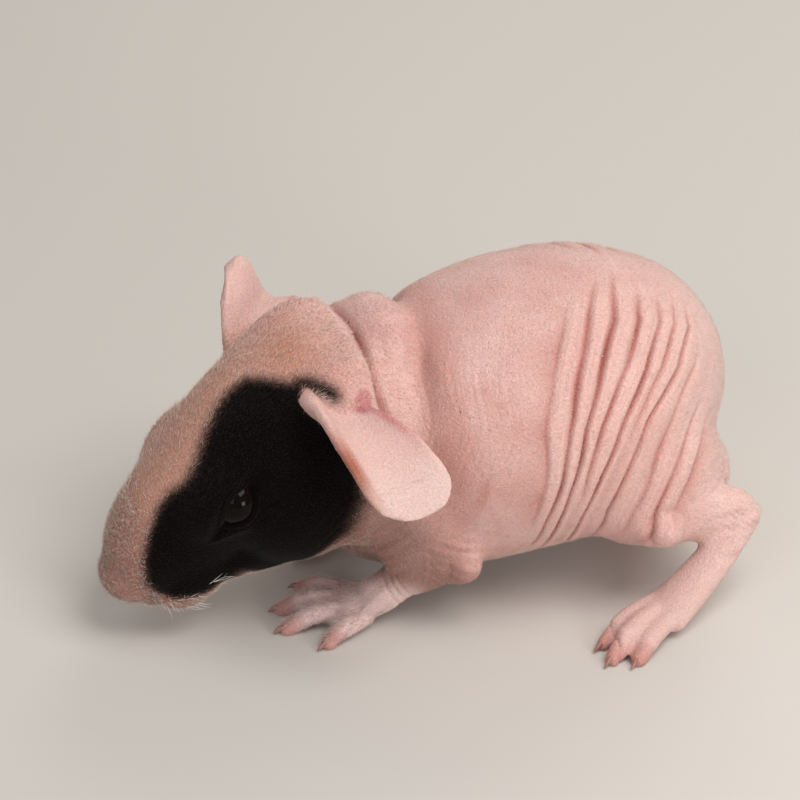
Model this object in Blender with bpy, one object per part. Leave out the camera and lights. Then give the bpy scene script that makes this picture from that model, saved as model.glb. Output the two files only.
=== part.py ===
# Skinny pig pup, a hairless guinea pig two to three weeks old, life size and still.
# It stands hunched with its nose lowered, the left ear flopped out and down.
# +X runs to the nose, +Y to the animal's left, +Z up; the feet stand on Z = 0.
# Tables below are in millimetres; every mesh is made in metres.

import math

import bmesh
import bpy
import numpy as np
from mathutils import Euler

MM = 0.001

# Driving sizes of the whole animal, in millimetres
SOLE_Z = 0.75
ORIGIN_SHIFT = np.array([-12.4, -0.3, -SOLE_Z])
VOXEL = 0.45
GAP = 0.3

# Head: place of the midpoint between the eyes, and its turn, in degrees
HEAD_PLACE = np.array([47.1, 5.1, 28.9])
HEAD_YAW = 10.0
HEAD_PITCH = 34.6
HEAD_ROLL = -5.5

MOUTH_CORNER = (7.6, -17.0)
MOUTH_MIDDLE = (15.0, -15.9)
MOUTH_FRONT = (22.0, -12.3)
MOUTH_DEPTH = 0.8
MOUTH_WIDTH = 0.6
LIP_RISE = 0.3
LIP_WIDTH = 0.9
LIP_ABOVE_MOUTH = 1.5
CLEFT_DEPTH = 0.6
CLEFT_WIDTH = 0.55
NOSTRIL = (23.4, 4.2, -7.9)
NOSTRIL_DEPTH = 1.3
NOSTRIL_HALF_HEIGHT = 0.75
NOSTRIL_HALF_WIDTH = 1.25
NOSTRIL_SLANT = 0.5

EYE_RADIUS = 4.2
EYE_DEPTH_Y = 8.7
EYE_LOW = 1.2
EYE_LIFT = 16.0
EYE_HALF_LENGTH = 64.0
EYE_HALF_HEIGHT = 37.0
EYE_TILT = 0.16
EYE_CORNER_POWER = 1.7
LID_SOFT = 1.2
LID_THICK = 0.85
# Skin over the eyeball, from the middle of the opening (0) past its rim (1): height over the ball
LID_PROFILE = (
    (0.0, -0.5), (0.9, -0.4), (1.0, GAP + 0.1), (1.12, LID_THICK),
    (1.35, LID_THICK + 0.1), (1.8, LID_THICK - 0.15),
)

# Trunk stations from tail root to throat: x, y, z, half width, rise, drop
TRUNK = (
    (-32.6, 0.0, 25.0, 11.5, 12.8, 11.0),
    (-28.6, 0.0, 27.0, 16.8, 18.6, 16.5),
    (-22.0, 0.0, 29.2, 21.4, 23.3, 20.3),
    (-13.5, 0.0, 30.0, 24.2, 25.0, 23.0),
    (-4.0, 0.0, 30.0, 24.8, 24.4, 24.0),
    (6.0, 0.0, 29.0, 23.5, 22.3, 24.8),
    (14.0, 0.2, 28.5, 20.3, 19.6, 24.5),
    (21.0, 0.6, 30.0, 16.5, 15.2, 21.5),
    (27.0, 1.2, 32.0, 13.0, 13.5, 16.0),
)

NECK = (
    (8.0, 0.0, 29.0, 16.0, 18.6, 20.0),
    (16.0, 0.8, 31.5, 17.0, 14.6, 19.0),
    (23.0, 1.8, 33.5, 16.7, 12.8, 17.5),
    (30.0, 2.8, 33.6, 15.6, 12.0, 15.5),
    (37.0, 4.0, 32.5, 12.5, 11.0, 12.0),
)

# Head stations, in the head's own frame from nape to nose: x, y, z, half width, rise, drop
SKULL = (
    (-34.0, 0.0, -3.0, 10.0, 5.8, 8.0),
    (-29.0, 0.0, -4.5, 12.6, 10.0, 10.5),
    (-21.0, 0.0, -4.5, 14.6, 13.6, 11.5),
    (-12.0, 0.0, -5.0, 14.6, 15.4, 11.0),
    (-4.0, 0.0, -5.0, 12.8, 15.0, 10.0),
    (4.0, 0.0, -5.0, 10.8, 13.3, 9.5),
    (11.0, 0.0, -5.2, 9.4, 11.1, 9.0),
    (16.6, 0.0, -5.6, 8.6, 8.5, 8.0),
    (19.6, 0.0, -5.9, 7.2, 6.6, 7.2),
    (21.8, 0.0, -6.2, 5.5, 4.4, 5.9),
)

JAW = (
    (-24.0, 0.0, -9.5, 12.4, 6.0, 10.4),
    (-15.0, 0.0, -11.0, 14.8, 6.0, 12.6),
    (-6.0, 0.0, -12.0, 14.2, 5.0, 12.4),
    (2.0, 0.0, -12.8, 11.8, 4.0, 10.4),
    (8.5, 0.0, -12.8, 8.6, 3.0, 6.6),
    (13.6, 0.0, -12.0, 5.2, 2.2, 3.4),
    (16.2, 0.0, -11.6, 3.4, 1.5, 2.0),
)

# Rounded masses of the head: centre, radii and turn about the vertical, one side, mirrored
HEAD_MASSES = (
    ((-9.0, 8.1, -10.2), (13.0, 9.0, 11.6), 8.0),
    ((-1.0, 6.2, -0.6), (11.0, 6.2, 7.0), 12.0),
    ((13.2, 4.2, -10.4), (7.8, 5.0, 5.6), 8.0),
    ((-21.5, 8.2, 1.0), (9.5, 5.8, 6.6), 0.0),
)
NOSE_PAD = ((21.2, 0.0, -6.8), (4.2, 5.9, 3.6), 0.0)

# Rounded masses of the body, left side: centre, radii, turn about the vertical
SHOULDER = ((13.0, 11.5, 23.0), (11.0, 9.0, 15.0), -8.0)
THIGH = ((-23.0, 13.6, 22.5), (13.0, 9.8, 13.0), 10.0)
KNEE = ((-24.0, 22.6, 16.4), (4.4, 3.0, 3.2), 20.0)
BUTTOCK = ((-31.5, 9.5, 19.0), (7.0, 7.5, 8.0), 0.0)
ELBOW = ((9.2, 19.6, 12.4), (3.6, 2.6, 3.0), 0.0)
CHEST_HEM = ((13.6, 15.6, 14.6), (8.6, 5.0, 5.3), -8.0)
JOWL = ((24.0, 9.6, 25.0), (9.0, 9.0, 10.5), 20.0)
CHEST = ((16.0, 0.5, 18.0), (14.0, 13.5, 14.0), 0.0)

# Left limbs as chains of round stations: x, y, z, half width, half height
FOREARM = (
    (8.5, 17.5, 16.5, 4.6, 5.2),
    (13.0, 16.6, 12.2, 3.9, 4.2),
    (18.3, 14.8, 8.2, 3.3, 3.2),
    (22.0, 13.9, 5.6, 3.5, 2.8),
)
FORE_PALM = (
    (19.0, 14.8, 7.0, 3.3, 2.9),
    (23.0, 13.4, 4.3, 4.3, 2.6),
    (27.5, 12.2, 2.8, 4.9, 2.2),
)
FORE_TOES = (
    ((26.0, 8.6, 3.2), (30.0, 6.0, 3.0), (32.6, 4.4, 1.6), 1.45),
    ((27.0, 11.2, 3.2), (32.5, 10.2, 3.4), (36.6, 9.5, 1.6), 1.65),
    ((26.8, 14.0, 3.2), (32.5, 14.4, 3.4), (36.8, 14.8, 1.6), 1.7),
    ((24.2, 16.4, 3.0), (28.4, 18.6, 2.9), (31.1, 20.1, 1.6), 1.6),
)
SHANK = (
    (-22.0, 18.5, 18.0, 5.5, 6.0),
    (-30.0, 18.6, 17.0, 4.6, 5.2),
    (-36.6, 19.0, 16.6, 3.2, 3.6),
)
HIND_SOLE = (
    (-38.0, 19.6, 15.6, 2.9, 3.0),
    (-34.5, 21.6, 12.0, 3.2, 2.8),
    (-29.0, 24.4, 7.4, 3.7, 2.7),
    (-23.0, 27.0, 3.4, 4.6, 2.4),
)
HIND_TOES = (
    ((-23.0, 23.8, 4.2), (-16.4, 27.4, 4.0), (-11.8, 30.4, 1.7), 1.5),
    ((-22.5, 26.0, 4.0), (-16.6, 30.7, 4.1), (-12.3, 34.4, 1.7), 1.75),
    ((-23.5, 28.2, 3.5), (-19.2, 32.6, 3.5), (-16.2, 35.6, 1.7), 1.7),
)
CLAW_LENGTH = 2.0
CLAW_RADIUS = 0.85
CLAW_ROOT = 0.7
TIP_CUT_RADIUS = 1.95

# Pleats of the flank: distance along the body at each angle round the trunk from its top,
# then the depth, and the angles between which the pleat shows
FOLD_AXIS_Z = 30.0
FOLD_ANGLES = (10.0, 30.0, 50.0, 70.0, 90.0, 110.0, 130.0)
FOLD_SINK = 0.72
FOLD_FADE = 1.6
FLANK_FOLDS = (
    (-11.3, -8.7, -5.3, -3.4, -3.1, -1.5, -0.5, 0.50, 26.0, 112.0),
    (-15.7, -12.8, -9.8, -7.2, -5.9, -4.0, -2.3, 1.00, 20.0, 128.0),
    (-18.9, -17.2, -13.2, -10.0, -8.1, -5.9, -4.9, 1.20, 16.0, 138.0),
    (-23.0, -21.6, -17.4, -12.7, -9.9, -8.0, -6.9, 0.95, 20.0, 98.0),
    (-26.2, -25.0, -21.4, -16.6, -12.4, -9.8, -9.0, 1.15, 26.0, 138.0),
    (-28.6, -28.0, -24.1, -18.6, -14.8, -11.8, -11.0, 0.70, 18.0, 74.0),
    (-30.8, -30.6, -27.2, -20.9, -17.2, -13.9, -13.4, 0.95, 26.0, 132.0),
    (-33.4, -32.6, -30.2, -26.0, -22.0, -18.6, -16.0, 0.55, 46.0, 122.0),
    (-36.0, -35.2, -34.0, -31.0, -26.6, -22.2, -18.8, 0.80, 78.0, 124.0),
    (-38.5, -37.8, -36.8, -35.0, -31.0, -25.6, -22.0, 0.60, 84.0, 118.0),
)

# Lobes of skin at the elbow and the knee, left side: centre and height
NUBS = (((8.3, 21.6, 13.3), 1.0), ((-24.0, 24.9, 17.6), 1.4))
NUB_RADIUS = 2.1
NUB_MOAT = 0.35
NUB_MOAT_RADIUS = 3.4
NUB_MOAT_WIDTH = 0.9

# Crease across the nape, and the valley behind the roll of loose neck skin
NECK_AXIS_Y = 1.8
NAPE_CREASE_X = 23.3
NAPE_CREASE_SLANT = 0.17
NAPE_CREASE_DEPTH = 1.5
NAPE_CREASE_WIDTH = 0.95
NAPE_LIP_RISE = 0.3
NAPE_LIP_AHEAD = 2.2
NAPE_LIP_WIDTH = 1.5
NECK_ROLL_RISE = 0.2
NECK_ROLL_WIDTH = 3.6
NECK_VALLEY_X = 13.2
NECK_VALLEY_SPREAD = 0.15
NECK_VALLEY_DEPTH = 0.5
NECK_VALLEY_WIDTH = 2.0

# The right limbs stand a little further back and closer in
RIGHT_FORE_SHIFT = np.array([-2.5, -0.8, 0.0])
RIGHT_HIND_SHIFT = np.array([2.0, 0.6, 0.0])

# Ears: both ends of the front and the rear rim, how far each rim arches, and which way
EAR_THICK = 1.1
EAR_CURL = 1.1
EAR_BULGE = 0.15
EAR_CORNER = 0.16
EAR_SUNK = 3.0
EAR_SUNK_ROWS = 2
EARS = {
    "left": {
        "front": ((34.3, 12.9, 45.5), (25.5, 29.5, 31.6), 4.0),
        "rear": ((23.0, 15.4, 44.0), (11.8, 27.1, 34.8), 3.0),
        "rise": (0.1, 0.62, 0.78),
        "cup": 2.4,
        "crest": (0.9, -0.72, 0.26),
    },
    "right": {
        "front": ((43.4, -8.0, 42.6), (38.0, -22.5, 41.0), 6.4),
        "rear": ((29.6, -11.0, 44.4), (26.5, -25.0, 34.5), 3.6),
        "rise": (-0.1, -0.25, 0.96),
        "cup": 1.6,
        "crest": (5.9, -0.5, 0.4),
    },
}
EAR_AXIS = (-20.0, 0.0, -5.0)

# Thin cuts that part the body: each region is the space in front of all its planes,
# given as a point and the direction that points into the region
HEAD_CUT = ((24.2, 1.5, 51.5), (1.0, 0.2, 0.12))
NECK_CUT = ((12.6, 0.0, 51.0), (0.963, 0.0, 0.27))
ABOVE_FEET = ((28.0, 0.0, 8.0), (0.105, 0.0, 0.994))
WRIST_CUT = ((20.6, 14.2, 6.4), (0.86, -0.1, -0.5))
FORELEG_TOP = ((10.0, 17.0, 16.6), (0.35, 0.0, -0.94))
FORELEG_INSIDE = ((12.0, 13.4, 10.0), (0.197, 0.98, 0.0))
FORELEG_BACK = ((4.6, 18.0, 12.0), (0.95, 0.0, -0.3))
FORELEG_FRONT = ((22.5, 14.0, 8.0), (-0.9, 0.0, -0.43))
PAW_INSIDE = ((20.4, 10.6, 3.0), (0.57, 0.82, 0.0))
PAW_TOP = ((28.0, 10.0, 9.6), (0.0, 0.0, -1.0))
PAW_FRONT = ((43.0, 10.0, 3.0), (-1.0, 0.0, 0.0))
ANKLE_CUT = ((-37.2, 19.5, 15.8), (-0.535, 0.28, -0.80))
HAUNCH_INSIDE = ((-26.0, 15.6, 15.0), (0.0, 1.0, 0.0))
HAUNCH_TOP = ((-26.0, 20.0, 21.5), (0.0, 0.0, -1.0))
HAUNCH_FRONT = ((-17.0, 20.0, 15.0), (-1.0, 0.0, 0.0))
FOOT_INSIDE = ((-30.0, 13.0, 5.0), (0.0, 1.0, 0.0))

GROUND = ((0.0, 0.0, SOLE_Z), (0.0, 0.0, 1.0))

# Triangles kept in each node
WORK_TRIANGLES = 60000
TRIANGLES = {"torso": 5800, "head": 3000, "neck": 600, "foreleg": 220, "forefoot": 560,
             "hindleg": 320, "hindfoot": 520}

COLOURS = {
    "skin": (0.66, 0.36, 0.30),
    "ear": (0.72, 0.42, 0.36),
    "foot": (0.64, 0.38, 0.36),
    "eye": (0.005, 0.004, 0.004),
    "claw": (0.62, 0.36, 0.30),
}


for leftover in list(bpy.data.objects):
    bpy.data.objects.remove(leftover, do_unlink=True)


def smooth_step(low, high, value):
    t = np.clip((value - low) / (high - low), 0.0, 1.0)
    return t * t * (3.0 - 2.0 * t)


def smooth_rows(rows, count):
    """Station rows resampled along a smooth curve through them."""
    rows = np.array(rows, float)
    last = len(rows) - 1
    t = np.linspace(0.0, last, count)
    i = np.clip(t.astype(int), 0, last - 1)
    u = (t - i)[:, None]
    p0 = rows[np.maximum(i - 1, 0)]
    p1 = rows[i]
    p2 = rows[i + 1]
    p3 = rows[np.minimum(i + 2, last)]
    return 0.5 * (2 * p1 + (p2 - p0) * u + (2 * p0 - 5 * p1 + 4 * p2 - p3) * u ** 2
                  + (3 * p1 - p0 - 3 * p2 + p3) * u ** 3)


def unit(v):
    v = np.asarray(v, float)
    return v / np.maximum(np.linalg.norm(v, axis=-1, keepdims=True), 1e-9)


def shell_faces(rings, sides):
    """Quads of a lofted tube, with a flat face closing each end."""
    faces = []
    for r in range(rings - 1):
        for s in range(sides):
            n = (s + 1) % sides
            faces.append((r * sides + s, r * sides + n, (r + 1) * sides + n, (r + 1) * sides + s))
    faces.append(tuple(reversed(range(sides))))
    faces.append(tuple(range((rings - 1) * sides, rings * sides)))
    return faces


def loft(rows, sides=56, per_station=5, round_ends=3, bulge=1.0):
    """Tube through stations of centre, half width, rise and drop, with rounded ends."""
    rows = np.array(rows, float)
    if rows.shape[1] == 5:
        rows = np.column_stack([rows, rows[:, 4]])
    rows = smooth_rows(rows, (len(rows) - 1) * per_station + 1)
    centre = rows[:, :3]
    ahead = unit(np.gradient(centre, axis=0))
    for end, sign in ((0, -1.0), (-1, 1.0)):
        extra = []
        tangents = []
        reach = rows[end, 3:].min() * bulge
        for k in range(1, round_ends + 1):
            turn = math.radians(84.0) * k / round_ends
            row = rows[end].copy()
            row[:3] += ahead[end] * sign * reach * math.sin(turn)
            row[3:] *= math.cos(turn)
            extra.append(row)
            tangents.append(ahead[end])
        if end == 0:
            rows = np.vstack([extra[::-1], rows])
            ahead = np.vstack([tangents, ahead])
        else:
            rows = np.vstack([rows, extra])
            ahead = np.vstack([ahead, tangents])
    side = unit(np.cross((0.0, 0.0, 1.0), ahead))
    up = np.cross(ahead, side)
    angle = np.arange(sides) * 2 * math.pi / sides
    c = np.cos(angle)
    s = np.sin(angle)
    height = np.where(s[None, :] >= 0, rows[:, 4:5], rows[:, 5:6]) * s[None, :]
    width = rows[:, 3:4] * c[None, :]
    points = (rows[:, None, :3] + side[:, None, :] * width[:, :, None]
              + up[:, None, :] * height[:, :, None])
    return points.reshape(-1, 3), shell_faces(len(rows), sides)


def ball(centre, radii, turn=0.0, rings=24, sides=36):
    """Ellipsoid with its long axis turned about the vertical."""
    phi = np.linspace(0.04, math.pi - 0.04, rings)
    angle = np.arange(sides) * 2 * math.pi / sides
    x = np.cos(phi)[:, None] * np.ones(sides)[None, :]
    y = -np.sin(phi)[:, None] * np.cos(angle)[None, :]
    z = np.sin(phi)[:, None] * np.sin(angle)[None, :]
    points = np.stack([x, y, z], -1).reshape(-1, 3) * np.array(radii)
    a = math.radians(turn)
    spin = np.array([[math.cos(a), -math.sin(a), 0.0], [math.sin(a), math.cos(a), 0.0], [0.0, 0.0, 1.0]])
    return points @ spin.T + np.array(centre), shell_faces(rings, sides)


def mirrored(shell):
    points, faces = shell
    return points * np.array([1.0, -1.0, 1.0]), [tuple(reversed(f)) for f in faces]


def moved(shell, shift):
    return shell[0] + shift, shell[1]


head_turn = np.array(Euler((math.radians(HEAD_ROLL), math.radians(HEAD_PITCH),
                            math.radians(HEAD_YAW)), "XYZ").to_matrix())


def head_to_body(points):
    return np.asarray(points, float) @ head_turn.T + HEAD_PLACE


def body_to_head(points):
    return (np.asarray(points, float) - HEAD_PLACE) @ head_turn


def toe(root, knuckle, tip, radius):
    """A toe from its root over the knuckle to the pad at its tip."""
    rows = (
        (*root, radius * 1.0, radius * 1.0),
        (*knuckle, radius * 1.08, radius * 1.02),
        (*(0.45 * np.array(knuckle) + 0.55 * np.array(tip)), radius * 0.92, radius * 0.9),
        (*tip, radius * 0.8, radius * 0.8),
    )
    return loft(rows, sides=14, per_station=4)


def limb_shells(side):
    """Every mass of the two legs of one side."""
    fore = [loft(FOREARM, sides=18), loft(FORE_PALM, sides=18)]
    fore += [toe(*row) for row in FORE_TOES]
    hind = [loft(SHANK, sides=18), loft(HIND_SOLE, sides=18)]
    hind += [toe(*row) for row in HIND_TOES]
    if side == "right":
        fore = [moved(mirrored(s), RIGHT_FORE_SHIFT) for s in fore]
        hind = [moved(mirrored(s), RIGHT_HIND_SHIFT) for s in hind]
    return fore + hind


def body_shells():
    shells = [loft(TRUNK, bulge=0.35), loft(NECK), ball(*CHEST)]
    for mass in (SHOULDER, THIGH, KNEE, BUTTOCK, ELBOW, CHEST_HEM, JOWL):
        shells += [ball(*mass), mirrored(ball(*mass))]
    shells += limb_shells("left") + limb_shells("right")
    head = [loft(SKULL), loft(JAW, sides=32), ball(*NOSE_PAD)]
    for mass in HEAD_MASSES:
        head += [ball(*mass), mirrored(ball(*mass))]
    return shells + [(head_to_body(p), f) for p, f in head]


def new_mesh_object(name, points, faces):
    mesh = bpy.data.meshes.new(name)
    mesh.from_pydata([tuple(p) for p in np.asarray(points) * MM], [], faces)
    mesh.update()
    thing = bpy.data.objects.new(name, mesh)
    bpy.context.scene.collection.objects.link(thing)
    return thing


def read_points(thing):
    flat = np.empty(len(thing.data.vertices) * 3)
    thing.data.vertices.foreach_get("co", flat)
    return flat.reshape(-1, 3) / MM


def read_normals(thing):
    flat = np.empty(len(thing.data.vertices) * 3)
    thing.data.vertex_normals.foreach_get("vector", flat)
    return flat.reshape(-1, 3)


def write_points(thing, points):
    thing.data.vertices.foreach_set("co", (points * MM).ravel())
    thing.data.update()


def apply_modifiers(thing):
    graph = bpy.context.evaluated_depsgraph_get()
    made = bpy.data.meshes.new_from_object(thing.evaluated_get(graph))
    thing.modifiers.clear()
    thing.data = made
    return thing


def joined(name, shells):
    points = []
    faces = []
    for shell, corners in shells:
        start = sum(len(p) for p in points)
        points.append(shell)
        faces += [tuple(start + c for c in face) for face in corners]
    return new_mesh_object(name, np.vstack(points), faces)


def soften(thing, weight, turns):
    """Smooths the surface, each vertex by its own weight."""
    group = thing.vertex_groups.new(name="soft")
    for level in range(1, 11):
        chosen = np.nonzero(np.round(weight * 10).astype(int) == level)[0]
        if len(chosen):
            group.add([int(i) for i in chosen], level / 10.0, "REPLACE")
    modifier = thing.modifiers.new("soft", "SMOOTH")
    modifier.factor = 0.5
    modifier.iterations = turns
    modifier.vertex_group = "soft"
    apply_modifiers(thing)
    thing.vertex_groups.clear()


def fuse(name, shells, voxel):
    thing = joined(name, shells)
    modifier = thing.modifiers.new("fuse", "REMESH")
    modifier.mode = "VOXEL"
    modifier.voxel_size = voxel * MM
    return apply_modifiers(thing)


def sculpt_eyes(points):
    """Opens the lids over each eyeball and raises their rims."""
    local = body_to_head(points)
    lift = math.radians(EYE_LIFT)
    for sign in (1.0, -1.0):
        away = local - np.array([0.0, sign * EYE_DEPTH_Y, -EYE_LOW])
        distance = np.linalg.norm(away, axis=1)
        out = away[:, 1] * sign * math.cos(lift) + away[:, 2] * math.sin(lift)
        rise = away[:, 2] * math.cos(lift) - away[:, 1] * sign * math.sin(lift)
        near = distance < 3.0 * EYE_RADIUS
        along = np.degrees(np.arctan2(away[:, 0], np.maximum(out, 1e-6)))
        high = np.degrees(np.arctan2(rise + EYE_TILT * away[:, 0], np.maximum(out, 1e-6)))
        power = EYE_CORNER_POWER
        ratio = np.abs(along / EYE_HALF_LENGTH) ** power + np.abs(high / EYE_HALF_HEIGHT) ** power
        ratio = ratio ** (1 / power)
        beyond = distance - EYE_RADIUS - LID_THICK
        covered = EYE_RADIUS + LID_THICK + 0.5 * (beyond + np.sqrt(beyond ** 2 + LID_SOFT))
        reach = 1.0 - smooth_step(EYE_RADIUS + 2.0, EYE_RADIUS + 4.0, distance)
        target = EYE_RADIUS + np.interp(ratio, *zip(*LID_PROFILE))
        pull = (1.0 - smooth_step(1.15, 1.46, ratio)) * reach * smooth_step(0.0, 1.4, out)
        placed = covered * (1.0 - pull) + target * pull
        scale = placed / np.maximum(distance, 1e-6)
        local = np.where(near[:, None], local - away + away * scale[:, None], local)
    return head_to_body(local)


def flank_folds(points):
    """Height of the pleats that run from the rump down and forward to the belly."""
    folds = np.array(FLANK_FOLDS)
    around = np.degrees(np.arctan2(np.abs(points[:, 1]), points[:, 2] - FOLD_AXIS_Z))
    lines = np.stack([np.interp(around, FOLD_ANGLES, row[:-3]) for row in folds])
    depth = np.stack([row[-3] * smooth_step(row[-2] - 8.0, row[-2] + 14.0, around)
                      * smooth_step(row[-1] + 8.0, row[-1] - 14.0, around) for row in folds])
    x = points[:, 0]
    height = np.zeros(len(points))
    for k in range(len(folds) - 1):
        front = lines[k]
        back = lines[k + 1]
        phase = (front - x) / np.maximum(front - back, 0.5)
        inside = (phase >= 0.0) & (phase < 1.0)
        deep = depth[k] * (1.0 - phase) + depth[k + 1] * phase
        ridge = np.abs(np.sin(np.pi * np.clip(phase, 0.0, 1.0) ** 0.85)) ** 0.7
        height = np.where(inside, deep * (ridge - FOLD_SINK), height)
    for k, sign in ((0, 1.0), (len(folds) - 1, -1.0)):
        away = (x - lines[k]) * sign
        fade = np.exp(-np.maximum(away, 0.0) / FOLD_FADE)
        height = np.where(away >= 0.0, -depth[k] * FOLD_SINK * fade, height)
    return height


def neck_folds(points):
    """Depth of the crease behind the skull and height of the roll of skin behind it."""
    y = points[:, 1] - NECK_AXIS_Y
    around = np.degrees(np.arctan2(y, points[:, 2] - FOLD_AXIS_Z))
    crease_x = NAPE_CREASE_X - NAPE_CREASE_SLANT * points[:, 1]
    valley_x = NECK_VALLEY_X + NECK_VALLEY_SPREAD * np.abs(y)
    above = smooth_step(68.0, 44.0, np.abs(around))
    side = np.where(y > 0, 1.0, 0.75)
    from_crease = points[:, 0] - crease_x
    from_valley = points[:, 0] - valley_x
    from_roll = points[:, 0] - 0.5 * (crease_x + valley_x)
    height = -NAPE_CREASE_DEPTH * np.exp(-(from_crease / NAPE_CREASE_WIDTH) ** 2)
    height += NAPE_LIP_RISE * np.exp(-((from_crease - NAPE_LIP_AHEAD) / NAPE_LIP_WIDTH) ** 2)
    height += NECK_ROLL_RISE * np.exp(-(from_roll / NECK_ROLL_WIDTH) ** 2)
    height += -NECK_VALLEY_DEPTH * np.exp(-(from_valley / NECK_VALLEY_WIDTH) ** 2)
    return height * above * side


def muzzle_marks(points):
    """Mouth line, cleft of the lip and nostrils, as depths in the head's own frame."""
    local = body_to_head(points)
    x = local[:, 0]
    y = np.abs(local[:, 1])
    z = local[:, 2]
    mouth_z = np.interp(x, *zip(MOUTH_CORNER, MOUTH_MIDDLE, MOUTH_FRONT))
    on_mouth = smooth_step(MOUTH_CORNER[0] - 1.0, MOUTH_CORNER[0] + 0.8, x)
    height = -MOUTH_DEPTH * np.exp(-((z - mouth_z) / MOUTH_WIDTH) ** 2) * on_mouth
    height += LIP_RISE * np.exp(-((z - mouth_z - LIP_ABOVE_MOUTH) / LIP_WIDTH) ** 2) * on_mouth
    cleft = np.exp(-(y / CLEFT_WIDTH) ** 2) * smooth_step(20.0, 21.5, x) * smooth_step(-7.2, -8.6, z)
    height += -CLEFT_DEPTH * cleft * smooth_step(-14.5, -13.0, z)
    slot = ((z - NOSTRIL[2]) + NOSTRIL_SLANT * (y - NOSTRIL[1])) / NOSTRIL_HALF_HEIGHT
    across = ((y - NOSTRIL[1]) - NOSTRIL_SLANT * (z - NOSTRIL[2])) / NOSTRIL_HALF_WIDTH
    height += -NOSTRIL_DEPTH * np.exp(-slot ** 2 - across ** 2) * smooth_step(19.0, 21.0, x)
    return height


def joint_nubs(points):
    """Small lobes of loose skin that stick out at the elbow and the knee."""
    height = np.zeros(len(points))
    for centre, size in NUBS:
        for flip in ((1.0, 1.0, 1.0), (1.0, -1.0, 1.0)):
            away = np.linalg.norm(points * np.array(flip) - np.array(centre), axis=1)
            height += size * np.exp(-(away / NUB_RADIUS) ** 2)
            height += -size * NUB_MOAT * np.exp(-((away - NUB_MOAT_RADIUS) / NUB_MOAT_WIDTH) ** 2)
    return height


def build_skin():
    skin = fuse("skin", body_shells(), VOXEL)
    points = read_points(skin)
    local = body_to_head(points)
    limbs = smooth_step(13.0, 9.0, points[:, 2]) * smooth_step(10.0, 13.0, np.abs(points[:, 1]))
    paws = smooth_step(20.0, 22.5, points[:, 0]) * smooth_step(8.6, 7.4, points[:, 2])
    limbs = np.maximum(limbs, paws * (points[:, 0] < 46.0))
    hock = smooth_step(-33.0, -36.0, points[:, 0]) * smooth_step(14.0, 17.0, np.abs(points[:, 1]))
    face = smooth_step(8.0, 18.0, local[:, 0]) * (points[:, 2] > 5)
    weight = 1.0 - np.maximum(limbs, hock) - 0.8 * face
    soften(skin, np.clip(weight, 0.0, 1.0), 150)
    soften(skin, np.ones(len(points)), 4)
    points = sculpt_eyes(read_points(skin))
    write_points(skin, points)
    normals = read_normals(skin)
    height = flank_folds(points) + neck_folds(points) + muzzle_marks(points) + joint_nubs(points)
    write_points(skin, points + normals * height[:, None])
    soften(skin, smooth_step(9.0, 14.0, points[:, 2]), 3)
    return skin


def ear_grid(spec, rows, columns, grow):
    """Middle surface of an ear from root to far edge, front rim to rear rim."""
    axis = head_to_body(np.array([EAR_AXIS]))[0]
    s = np.linspace(0.0, 1.0, rows - EAR_SUNK_ROWS)[:, None]
    rims = []
    for base, end, arch in (spec["front"], spec["rear"]):
        base = np.array(base)
        end = np.array(end)
        rim = base + s * (end - base) + arch * np.sin(math.pi * s) * unit(spec["rise"])
        depth = (EAR_SUNK + grow) * np.arange(EAR_SUNK_ROWS, 0, -1)[:, None] / EAR_SUNK_ROWS
        outward_way = unit(unit(end - base + math.pi * arch * unit(spec["rise"])) + unit(base - axis))
        rims.append(np.vstack([base - depth * outward_way, rim]))
    t = np.linspace(-1.0, 1.0, columns)[None, :, None]
    s = np.concatenate([np.zeros(EAR_SUNK_ROWS), s[:, 0]])[:, None, None]
    front = rims[0][:, None, :]
    rear = rims[1][:, None, :]
    stretch = 1.0 + 2.0 * grow / np.linalg.norm(front - rear, axis=-1, keepdims=True)
    waist = np.interp(s, (0.0, 0.12, 0.5, 1.0), (0.86, 0.92, 1.05, 1.0)) * stretch
    waist = waist * (1.0 - EAR_CORNER * np.maximum(4.0 * s - 3.0, 0.0) ** 2.5)
    middle = 0.5 * (front + rear) + 0.5 * t * waist * (rear - front)
    along = np.gradient(middle, axis=0)
    normal = unit(np.cross(rear - front, along))
    hollow = spec["cup"] * np.interp(s, (0.0, 0.3, 1.0), (1.2, 1.0, 0.3)) * (1.0 - t ** 2)
    high, crest_t, crest_width = spec["crest"]
    crest = high * np.exp(-((t - crest_t) / crest_width) ** 2) * np.sin(math.pi * s) * unit(spec["rise"])
    curl = EAR_CURL * smooth_step(0.7, 1.0, -t) * smooth_step(0.0, 0.3, s)
    facing = np.sign((normal @ unit(spec["rise"])).mean())
    reach = unit(0.5 * (front + rear)[-1:] - 0.5 * (front + rear)[EAR_SUNK_ROWS:EAR_SUNK_ROWS + 1])
    length = np.linalg.norm(np.array(spec["front"][1]) - np.array(spec["front"][0]))
    bulge = EAR_BULGE * length * (1.0 - np.abs(t) ** 2.6) * s ** 3
    return middle + facing * normal * (curl - hollow) + bulge * reach + crest


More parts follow.
